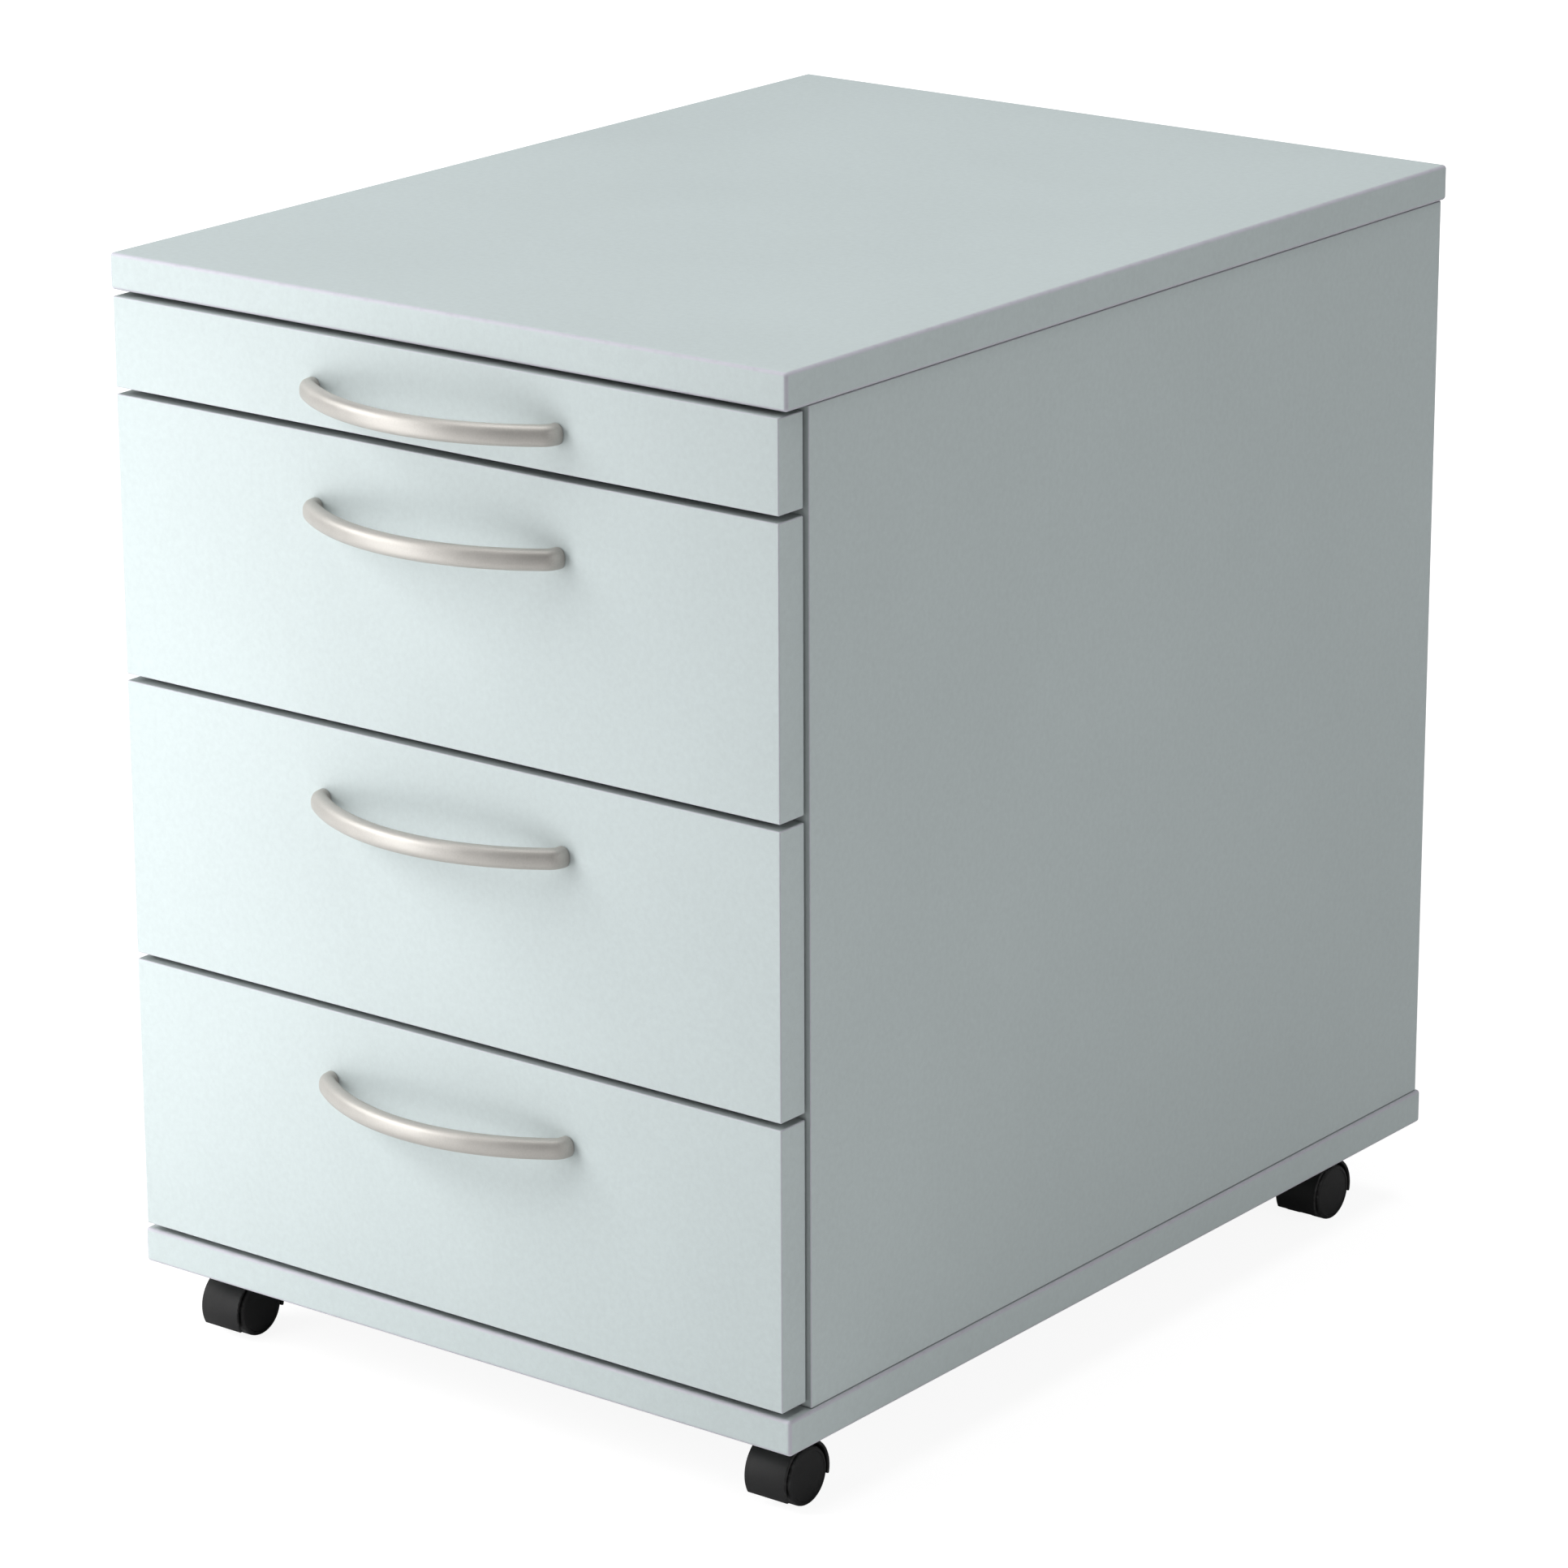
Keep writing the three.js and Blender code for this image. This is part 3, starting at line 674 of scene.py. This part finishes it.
def hood_skirt(centre):
    """A stadium-like section swept round the axle; near both ends its roundings shrink, so the
    ends are eased as well. The angle runs from the rear, over the top, to the front."""
    corner = np.linspace(0, math.pi / 2, 6)
    quarter = np.concatenate([corner + k * math.pi / 2 for k in range(4)])
    way = np.stack([np.cos(quarter), np.sin(quarter)], -1)
    hub_x = np.repeat([1, -1, -1, 1], 6) * (HOOD_HALF - HOOD_EASE)
    middle, half_gap = (HOOD_INNER + HOOD_OUTER) / 2, (HOOD_OUTER - HOOD_INNER) / 2 - HOOD_EASE
    hub_r = middle + np.repeat([1, 1, -1, -1], 6) * half_gap
    ease = HOOD_EASE * HOOD_END_EASE
    length = (HOOD_FRONT_END - HOOD_REAR_END) * middle
    eased, shrink = eased_ends(0, length, ease, 5)
    split = len(eased) // 2
    inner = np.linspace(eased[split - 1], eased[split], HOOD_STATIONS + 2)[1:-1]
    station = np.concatenate([eased[:split], inner, eased[split:]])
    shrink = np.concatenate([shrink[:split], np.zeros(HOOD_STATIONS), shrink[split:]])
    angle = (HOOD_REAR_END + station / middle)[:, None]
    reach = (HOOD_EASE - shrink)[:, None]
    radius = hub_r + way[:, 1] * reach
    x = centre[0] + hub_x + way[:, 0] * reach
    y = centre[1] + radius * np.cos(angle)
    z = centre[2] + radius * np.sin(angle)
    mask = abs(2 * way[:, 0] * way[:, 1]) + 0 * angle
    points, groups = tube(np.stack([x, y, z], axis=-1))
    return points, groups, mask


def hood_web(centre):
    """The plate between the wheels: a disc inside the skirt, cut off below by two lines."""
    angles = np.linspace(HOOD_REAR_END + WEB_SETBACK, HOOD_FRONT_END - WEB_SETBACK, 60)
    disc = (HOOD_INNER + WEB_OVERLAP) * np.stack([np.cos(angles), np.sin(angles)], -1)
    outline = np.concatenate([disc, [[-6, -12.5], [0, -12.3], [6, -11]]]) + centre[1:]
    return prism(outline, centre[0] - WEB_HALF, centre[0] + WEB_HALF, "yzx", 0.4)


def hood_boss(swivel, centre, top):
    """A round boss about the swivel axis with an eased top; its foot follows the skirt's middle."""
    around = np.linspace(0, 2 * math.pi, 48, endpoint=False)
    middle = (HOOD_INNER + HOOD_OUTER) / 2

    def ring(radius, lift):
        """One ring of the boss; lift is 0 on the skirt and 1 at the boss's top."""
        x, y = radius * np.cos(around), radius * np.sin(around)
        ahead = swivel[1] + y - centre[1]
        skirt = centre[2] + np.sqrt(np.clip(middle**2 - ahead**2, 0, None))
        return np.stack([swivel[0] + x, swivel[1] + y, skirt + lift * (top - skirt)], -1)

    profile = [(BOSS_RADIUS + 1.6, 0.0), (BOSS_RADIUS + 1.0, 0.14), (BOSS_RADIUS + 0.4, 0.3)]
    profile += [(BOSS_RADIUS, 0.5), (BOSS_RADIUS, 0.9), (BOSS_RADIUS - 0.2, 0.97)]
    profile += [(BOSS_RADIUS - 0.7, 1.0)]
    return tube(np.stack([ring(*step) for step in profile]))


def wheel_profile():
    """Inner face with a hub round the blind bore, rounded tread, outer disc with a fine step."""
    corners = [(2.7, 6.5), (2.7, 0), (6.4, 0), (7.0, 0.7), (12.6, 0.7), (13.2, 0)]
    corners += [(WHEEL_RADIUS, 0), (WHEEL_RADIUS, WHEEL_WIDTH), (13.3, WHEEL_WIDTH)]
    corners += [(13.1, 9.35), (8.0, 9.62), (0.4, WHEEL_WIDTH)]
    radii = [0, 0.3, 0.3, 0.3, 0.3, 0.3, 1.0, 2.0, 0.12, 0.12, 3.0, 0]
    return rounded_line(corners, radii, closed=False, steps=6)


def make_caster_wheel(caster, word, side):
    """The wheel's profile turned about its axle; the disc with the step looks outwards."""
    node = f"caster_{caster}_wheel_{word}"
    low, high = box_of(node)
    centre = JOINT_PLACES[f"{node}_spin"].copy()
    centre[0] = low[0] if side > 0 else high[0]
    profile = wheel_profile() * [1, side]
    points, groups = turned(profile, centre, "x", 72)
    rim = np.hypot(points[:, 1] - centre[1], points[:, 2] - centre[2])
    mask = smooth_step((rim - TREAD_EDGE) / TREAD_FADE)
    name = f"caster_{caster}_roll_{word}"
    Surface().add(points, groups, mask).write(name, BLACK, node, [node], "black_plastic")


def make_caster(caster):
    """A hood made of skirt, web and boss, with two wheels, a mounting plate and a plated axle."""
    swivel = JOINT_PLACES[f"caster_{caster}_swivel_turn"]
    centre = JOINT_PLACES[f"caster_{caster}_wheel_left_spin"].copy()
    centre[0] = swivel[0]
    _, hood_high = box_of(f"caster_{caster}_hood")
    hood = Surface().add(*hood_skirt(centre)).add(*hood_web(centre))
    hood.add(*hood_boss(swivel, centre, hood_high[2]))
    body, node = f"caster_{caster}_swivel", f"caster_{caster}_hood"
    hood.write(f"caster_{caster}_cover", BLACK, body, [node], "black_plastic")
    for word, side in SIDES:
        make_caster_wheel(caster, word, side)
    make_caster_plate(caster, swivel)
    frame["nodes"][f"caster_{caster}_axle"].data.materials.clear()
    frame["nodes"][f"caster_{caster}_axle"].data.materials.append(ZINC)


PLATE_SCREW = 15.0  # screws from the plate's middle, each way
PLATE_CORNER = 5.0
PLATE_THICK = 2.0


def make_caster_plate(caster, swivel):
    """A round-cornered plate with a stem that has a clip groove, and four screws into the panel."""
    node = f"caster_{caster}_plate"
    low, high = box_of(node)
    square = [(low[0], low[1]), (high[0], low[1]), (high[0], high[1]), (low[0], high[1])]
    outline = rounded_line(square, PLATE_CORNER, steps=8)
    underside = high[2] - PLATE_THICK
    plate = Surface().add(*prism(outline, underside, high[2], "xyz", 0.35))
    stem = [(1.5, low[2]), (2.6, low[2]), (3.0, low[2] + 0.5), (3.0, low[2] + 1.6)]
    stem += [(2.4, low[2] + 1.8), (2.4, low[2] + 2.6), (3.0, low[2] + 2.8), (3.0, underside + 0.5)]
    plate.add(*turned(stem, (swivel[0], swivel[1], 0), "z", 40))
    plate.write(f"caster_{caster}_mount", ZINC, "root", [node], "drawer_steel")
    screws = Surface()
    for a in (-PLATE_SCREW, PLATE_SCREW):
        for b in (-PLATE_SCREW, PLATE_SCREW):
            screws.add(*screw_head((swivel[0] + a, swivel[1] + b, underside), "z", -1))
    screws.write(f"caster_{caster}_screws", ZINC, "root", slot="axle_steel")


for caster in CASTERS:
    make_caster(caster)


# ---- runners and rollers ----

SHEET = 1.2
RUNNER_DEPTH = 10.0
BEND = 1.3
ROLLER_RADIUS = 7.0
ROLLER_WIDTH = 6.8
ROLLER_EDGE = 6.4  # radius at which a roller's worn tread starts
ROLLER_FADE = 0.5
STUD_RADIUS = 2.2
RIVET_RADIUS = 3.5
RIVET_RISE = 0.7
RUNNER_SCREWS = (62.0, 260.0, 470.0)  # behind the runner's front end


def rivet_head(place, facing):
    """A low dome on the end of a roller's stud."""
    turn = np.linspace(0, math.pi / 2, 8)
    dome = np.stack([RIVET_RADIUS * np.cos(turn), RIVET_RISE * np.sin(turn)], -1)[:-1]
    profile = np.concatenate([[(RIVET_RADIUS, -0.25)], dome, [(0.3, RIVET_RISE)]]) * [1, facing]
    return turned(profile, place, "x", 32)


def make_roller(node):
    """A nylon roller: rounded tread, a groove in each face and a hub round the bore."""
    low, _ = box_of(node)
    centre = JOINT_PLACES[f"{node}_spin"].copy()
    centre[0] = low[0]
    w = ROLLER_WIDTH
    corners = [(2.6, 0), (3.9, 0), (4.2, 0.7), (5.3, 0.7), (5.6, 0.1), (ROLLER_RADIUS, 0.1)]
    corners += [(ROLLER_RADIUS, w - 0.1), (5.6, w - 0.1), (5.3, w - 0.7), (4.2, w - 0.7)]
    corners += [(3.9, w), (2.6, w)]
    radii = [0.2, 0.2, 0.2, 0.2, 0.2, 0.6, 0.6, 0.2, 0.2, 0.2, 0.2, 0.2]
    profile = rounded_line(corners, radii, steps=3)
    points, groups = turned(profile, centre, "x", 48, closed=True)
    rim = np.hypot(points[:, 1] - centre[1], points[:, 2] - centre[2])
    mask = smooth_step((rim - ROLLER_EDGE) / ROLLER_FADE)
    Surface().add(points, groups, mask).write(f"{node}_tread", NYLON, node, [node], "nylon")


def make_runner(number, word, side):
    """A folded channel on the side panel, its stud and rivet for the front roller, three screws."""
    node = f"runner_{number}_{word}"
    low, high = box_of(node)
    outer = side * max(abs(low[0]), abs(high[0]))
    web, tip = outer - side * SHEET / 2, outer - side * RUNNER_DEPTH
    z0, z1 = low[2] + SHEET / 2, high[2] - SHEET / 2
    line = [(tip, z0), (web, z0), (web, z1), (tip, z1)]
    outline = folded_sheet(line, SHEET, BEND)
    runner = Surface().add(*prism(outline, low[1], high[1], "xzy"))
    axis = JOINT_PLACES[f"front_roller_{number}_{word}_spin"]
    roller_low, roller_high = box_of(f"front_roller_{number}_{word}")
    near = roller_low[0] if side > 0 else roller_high[0]
    reach = [(STUD_RADIUS, web), (STUD_RADIUS, near - side * 0.2)]
    runner.add(*turned(reach, (0, axis[1], axis[2]), "x", 32))
    runner.add(*rivet_head((near - side * 0.1, axis[1], axis[2]), -side))
    runner.write(f"runner_channel_{number}_{word}", COATED, "root", [node], "drawer_steel")
    screws = Surface()
    for back in RUNNER_SCREWS:
        place = (outer - side * SHEET, low[1] + back, (low[2] + high[2]) / 2)
        screws.add(*screw_head(place, "x", -side))
    screws.write(f"runner_screws_{number}_{word}", ZINC, "root", slot="axle_steel")


for number in STEEL_DRAWERS:
    for word, side in SIDES:
        make_runner(number, word, side)
        make_roller(f"front_roller_{number}_{word}")
        make_roller(f"rear_roller_{number}_{word}")


# ---- steel drawer boxes ----

LEDGE = 9.6  # from the box's wall to the tip of its roller rail
HEM_HEIGHT = 8.0
LEDGE_RISE = 23.8  # underside of the rail above the box's underside
RAIL_LEG = 9.0


def make_steel_box(number):
    """Sheet walls: one folded trough with hemmed sides, a front and a hemmed rear wall, and a
    folded rail with a stud and rivet on each side."""
    node, body = f"steel_box_{number}", f"drawer_{number}"
    low, high = box_of(node)
    half = high[0] - LEDGE
    wall, hem = half - SHEET / 2, half - SHEET * 1.5 - 0.1
    floor, top = low[2] + SHEET / 2, high[2] - SHEET / 2
    hem_foot = high[2] - HEM_HEIGHT
    right = [(wall, floor), (wall, top), (hem, top), (hem, hem_foot)]
    left = [(-x, z) for x, z in right[::-1]]
    bends = [0, 0.6, 0.6, 1.6, 1.6, 0.6, 0.6, 0]
    trough = Surface()
    outline = folded_sheet(left + right, SHEET, bends)
    trough.add(*prism(outline, low[1], high[1], "xzy"))
    inside = hem - SHEET / 2 - 0.1
    front = folded_sheet([(low[1] + SHEET / 2, low[2] + SHEET), (low[1] + SHEET / 2, high[2])], SHEET, 0)
    trough.add(*prism(front, -inside, inside, "yzx"))
    back_wall, back_hem = high[1] - SHEET / 2, high[1] - SHEET * 1.5 - 0.1
    rear = [(back_wall, low[2] + SHEET), (back_wall, top), (back_hem, top), (back_hem, hem_foot)]
    trough.add(*prism(folded_sheet(rear, SHEET, 0.6), -inside, inside, "yzx"))
    for word, side in SIDES:
        rail_z = low[2] + LEDGE_RISE + SHEET / 2
        leg_x = side * (half + SHEET / 2)
        rail = [(side * high[0], rail_z), (leg_x, rail_z), (leg_x, rail_z + RAIL_LEG)]
        trough.add(*prism(folded_sheet(rail, SHEET, BEND), low[1] + 2, high[1] - 1, "xzy"))
        axis = JOINT_PLACES[f"rear_roller_{number}_{word}_spin"]
        roller_low, roller_high = box_of(f"rear_roller_{number}_{word}")
        far = roller_high[0] if side > 0 else roller_low[0]
        stud = [(STUD_RADIUS, side * wall), (STUD_RADIUS, far + side * 0.2)]
        trough.add(*turned(stud, (0, axis[1], axis[2]), "x", 32))
        trough.add(*rivet_head((far + side * 0.1, axis[1], axis[2]), side))
    trough.write(f"drawer_box_{number}", COATED, body, [node], "drawer_steel")


def make_handle_screws(number, inner_face):
    """The two screws that hold a handle, seen on the inside of the drawer."""
    low, high = box_of(f"handle_{number}")
    foot = high[0] - HANDLE_THICK / 2
    screws = Surface()
    for x in (-foot, foot):
        screws.add(*screw_head((x, inner_face, (low[2] + high[2]) / 2), "y", 1))
    screws.write(f"handle_screws_{number}", ZINC, f"drawer_{number}", slot="axle_steel")


for number in STEEL_DRAWERS:
    make_steel_box(number)
    make_handle_screws(number, box_of(f"steel_box_{number}")[0][1] + SHEET)


# ---- pencil tray ----

TRAY_WALL = 2.2
TRAY_RIM = 2.5
RIM_WIDTH = 8.4
RIM_INSET = 8.0
PEN_POCKET = 80.0
MIDDLE_POCKETS = 170.0
POCKET_COLUMNS = 3
POCKET_CORNER = 7.0
WALL_SLOPE = 1.4  # how far a pocket's wall leans over its height
PEN_RIBS = 4  # spaces between the ribs across the pen pocket
RIB_RISE = 2.4
RIB_END_GAP = 14  # from the pocket's ends to the ribs
RIB_SIDE_GAP = 2
UNDER_STEP = 0.4  # width of the step from the body's underside up to the rim's
LIP = 0.15  # how open a pocket is where its lip is most worn
GUIDE_WALL = 2.4


def dense_lines(low, high, walls, reach=11.0, fine=0.7, coarse=9.0):
    """Grid lines from low to high: fine steps within reach of each wall, coarse steps between."""
    base = np.arange(low, high, fine)
    near = np.abs(base[:, None] - np.asarray(walls)[None]).min(1) < reach
    thin = np.arange(len(base)) % max(1, round(coarse / fine)) == 0
    return np.unique(np.concatenate([base[near | thin], [low, high]]))


def pocket_depth(x, y, box):
    """How open a pocket is at each point, 0 to 1: a smooth step over the wall's slope of the signed
    distance to a rectangle with rounded corners."""
    x0, x1, y0, y1 = box
    px = abs(x - (x0 + x1) / 2) - (x1 - x0) / 2 + POCKET_CORNER
    py = abs(y - (y0 + y1) / 2) - (y1 - y0) / 2 + POCKET_CORNER
    outside = np.hypot(np.maximum(px, 0), np.maximum(py, 0))
    distance = outside + np.minimum(np.maximum(px, py), 0) - POCKET_CORNER
    return smooth_step(-distance / WALL_SLOPE)


def make_pencil_tray():
    """A height field: the rim's level less the depth of each pocket, with low ribs that part the
    pens in the front one. Its underside is flat under the body and steps up under the rim."""
    low, high = box_of("pencil_tray")
    half = high[0] - RIM_WIDTH
    inner = half - TRAY_WALL
    pen_start = low[1] + TRAY_WALL
    pen_end = pen_start + PEN_POCKET
    middle_start, middle_end = pen_end + TRAY_WALL, pen_end + MIDDLE_POCKETS
    rear_start, rear_end = middle_end + TRAY_WALL, high[1] - TRAY_WALL
    width = (2 * inner - (POCKET_COLUMNS - 1) * TRAY_WALL) / POCKET_COLUMNS
    starts = [-inner + k * (width + TRAY_WALL) for k in range(POCKET_COLUMNS)]
    pockets = [(-inner, inner, pen_start, pen_end), (-inner, inner, rear_start, rear_end)]
    pockets += [(start, start + width, middle_start, middle_end) for start in starts]
    walls_x = [-half, half, high[0], low[0]] + starts + [start + width for start in starts]
    walls_y = [low[1], pen_end, middle_end, high[1], low[1] + RIM_INSET, high[1] - RIM_INSET]
    lines_x = dense_lines(low[0], high[0], walls_x)
    lines_y = dense_lines(low[1], high[1], walls_y)
    x, y = np.meshgrid(lines_x, lines_y, indexing="ij")
    depth = high[2] - low[2] - TRAY_WALL
    opened = np.max([pocket_depth(x, y, pocket) for pocket in pockets], axis=0)
    grooves = 0.5 - 0.5 * np.cos((y - pen_start) / PEN_POCKET * PEN_RIBS * 2 * math.pi)
    ribbed = (-inner + RIB_END_GAP, inner - RIB_END_GAP, pen_start + RIB_SIDE_GAP, pen_end - RIB_SIDE_GAP)
    ribs = RIB_RISE * (1 - grooves) ** 3 * pocket_depth(x, y, ribbed) * (y < pen_end)
    top = high[2] - depth * opened + ribs
    body = smooth_step((half + UNDER_STEP / 2 - abs(x)) / UNDER_STEP)
    under = (high[2] - TRAY_RIM) * (1 - body) + low[2] * body
    rows, columns = x.shape
    upper = np.stack([x, y, top], -1).reshape(-1, 3)
    lower = np.stack([x, y, under], -1).reshape(-1, 3)
    faces = grid_faces(rows, columns)
    index = np.arange(rows * columns).reshape(rows, columns)
    border = np.concatenate([index[0, :-1], index[:-1, -1], index[-1, :0:-1], index[:0:-1, 0]])
    after = np.roll(border, -1)
    skirt = np.stack([border, after, after + rows * columns, border + rows * columns], -1)
    groups = [faces, faces[:, ::-1] + rows * columns, skirt[:, ::-1]]
    ridge = np.clip(1 - abs(opened - LIP) / LIP, 0, 1)
    mask = np.concatenate([ridge.ravel(), np.zeros(rows * columns)])
    tray = Surface().add(np.concatenate([upper, lower]), groups, mask)
    tray.write("pen_tray", CHARCOAL, "drawer_1", ["pencil_tray"], "tray_plastic", sharp=60)


def make_tray_guide(word, side):
    """A moulded channel with eased edges, which holds the tray's rim."""
    node = f"tray_guide_{word}"
    low, high = box_of(node)
    outer, tip = (high[0], low[0]) if side > 0 else (low[0], high[0])
    web = outer - side * GUIDE_WALL
    floor, roof = low[2] + GUIDE_WALL, high[2] - GUIDE_WALL
    corners = [(outer, low[2]), (tip, low[2]), (tip, floor), (web, floor)]
    corners += [(web, roof), (tip, roof), (tip, high[2]), (outer, high[2])]
    outline = rounded_line(corners, 0.4, steps=3)
    guide = Surface().add(*prism(outline, low[1], high[1], "xzy", 0.3))
    guide.write(f"tray_channel_{word}", BLACK, "root", [node], "black_plastic")


make_pencil_tray()
make_handle_screws(1, box_of("pencil_tray")[0][1] + TRAY_WALL)
for word, side in SIDES:
    make_tray_guide(word, side)


# ---- camera ----

CAMERA_AZIMUTH = math.radians(37.486)
CAMERA_ELEVATION = math.radians(17.602)
CAMERA_ROLL = math.radians(-0.226)
CAMERA_PLACE = Vector((1.8928, -2.1920, 1.2213))  # from the bottom panel's front lower edge
CAMERA_LENS = 141.17
SENSOR = 36


def add_camera():
    """A long lens in front of the cabinet, to its right and a little above it."""
    low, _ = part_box("bottom_panel")
    data = bpy.data.cameras.new("studio_camera")
    data.lens = CAMERA_LENS
    data.sensor_width = SENSOR
    data.clip_start, data.clip_end = 0.05, 60
    camera = bpy.data.objects.new("studio_camera", data)
    bpy.context.scene.collection.objects.link(camera)
    flat = math.cos(CAMERA_ELEVATION)
    back = Vector(
        (math.sin(CAMERA_AZIMUTH) * flat, -math.cos(CAMERA_AZIMUTH) * flat, math.sin(CAMERA_ELEVATION))
    )
    right = Vector((math.cos(CAMERA_AZIMUTH), math.sin(CAMERA_AZIMUTH), 0))
    up = back.cross(right)
    rolled_right = right * math.cos(CAMERA_ROLL) + up * math.sin(CAMERA_ROLL)
    rolled_up = up * math.cos(CAMERA_ROLL) - right * math.sin(CAMERA_ROLL)
    axes = Matrix((rolled_right, rolled_up, back)).transposed().to_4x4()
    place = Vector((0, low[1], low[2])) + CAMERA_PLACE
    camera.matrix_world = Matrix.Translation(place) @ axes
    bpy.context.scene.camera = camera


add_camera()


# ---- studio ----

LIGHTS = {
    # name: place, target, size, power in watts
    "key_left": ((-2.4, -1.8, 2.0), (0, -0.3, 0.3), (1.6, 1.6), 51.0),
    "near_left": ((-0.38, -0.82, 0.38), (-0.2, -0.3, 0.3), (0.25, 0.8), 2.9),
    "overhead": ((0, 0, 2.8), (0, 0, 0.3), (2.2, 2.2), 37.5),
    "right_fill": ((3.0, -0.6, 1.2), (0, 0, 0.3), (1.8, 1.8), 13.5),
    "right_back": ((2.6, 1.8, 1.4), (0, 0, 0.3), (1.6, 1.6), 2.0),
}
SURROUND = 0.12
PAPER_GLOW = 0.70  # share of plain white that the camera sees in the floor near the cabinet
PAPER_WHITE = 1.3
GLOW_START, GLOW_END = 0.75, 2.2  # metres from the middle over which the paper fades to white
FLOOR_HALF = 9.0


def add_light(name, place, target, size, power):
    """A rectangular soft light at a place, facing a target."""
    data = bpy.data.lights.new(name, "AREA")
    data.shape = "RECTANGLE"
    data.size, data.size_y = size
    data.energy = power
    light = bpy.data.objects.new(name, data)
    bpy.context.scene.collection.objects.link(light)
    light.location = place
    light.rotation_euler = (Vector(target) - Vector(place)).to_track_quat("-Z", "Y").to_euler()


def add_floor():
    """A pale paper floor that the camera sees fade to white away from the cabinet."""
    lines = np.linspace(-FLOOR_HALF, FLOOR_HALF, 3)
    x, y = np.meshgrid(lines, lines, indexing="ij")
    mesh = bpy.data.meshes.new("studio_floor")
    points = np.stack([x, y, 0 * x], -1).reshape(-1, 3)
    mesh.from_pydata(points.tolist(), [], grid_faces(3, 3).tolist())
    floor = bpy.data.objects.new("studio_floor", mesh)
    bpy.context.scene.collection.objects.link(floor)
    material, tree, shader = new_material("studio_paper", specular=0.1)
    shader.inputs["Base Color"].default_value = (0.93, 0.93, 0.93, 1)
    shader.inputs["Roughness"].default_value = 0.9
    seen = tree.nodes.new("ShaderNodeLightPath").outputs["Is Camera Ray"]
    away = tree.nodes.new("ShaderNodeVectorMath")
    away.operation = "LENGTH"
    tree.links.new(tree.nodes.new("ShaderNodeTexCoord").outputs["Object"], away.inputs[0])
    glow = spread(tree, away.outputs["Value"], GLOW_START, GLOW_END, PAPER_GLOW, 1.0)
    white = tree.nodes.new("ShaderNodeEmission")
    white.inputs["Strength"].default_value = PAPER_WHITE
    blend = tree.nodes.new("ShaderNodeMixShader")
    tree.links.new(maths(tree, "MULTIPLY", seen, glow), blend.inputs["Fac"])
    tree.links.new(shader.outputs["BSDF"], blend.inputs[1])
    tree.links.new(white.outputs["Emission"], blend.inputs[2])
    output = tree.nodes["Material Output"]
    tree.links.new(blend.outputs["Shader"], output.inputs["Surface"])
    mesh.materials.append(material)


def add_surround():
    """A white surround that lights the object only faintly."""
    world = bpy.data.worlds.new("studio_surround")
    world.use_nodes = True
    tree = world.node_tree
    seen = tree.nodes.new("ShaderNodeLightPath").outputs["Is Camera Ray"]
    background = tree.nodes["Background"]
    background.inputs["Color"].default_value = (1, 1, 1, 1)
    strength = spread(tree, seen, 0.0, 1.0, SURROUND, 1.0)
    tree.links.new(strength, background.inputs["Strength"])
    bpy.context.scene.world = world


def add_studio():
    """The floor, the surround, the lights and plain colour output."""
    add_floor()
    add_surround()
    for name, settings in LIGHTS.items():
        add_light(name, *settings)
    bpy.context.scene.view_settings.view_transform = "Standard"


add_studio()
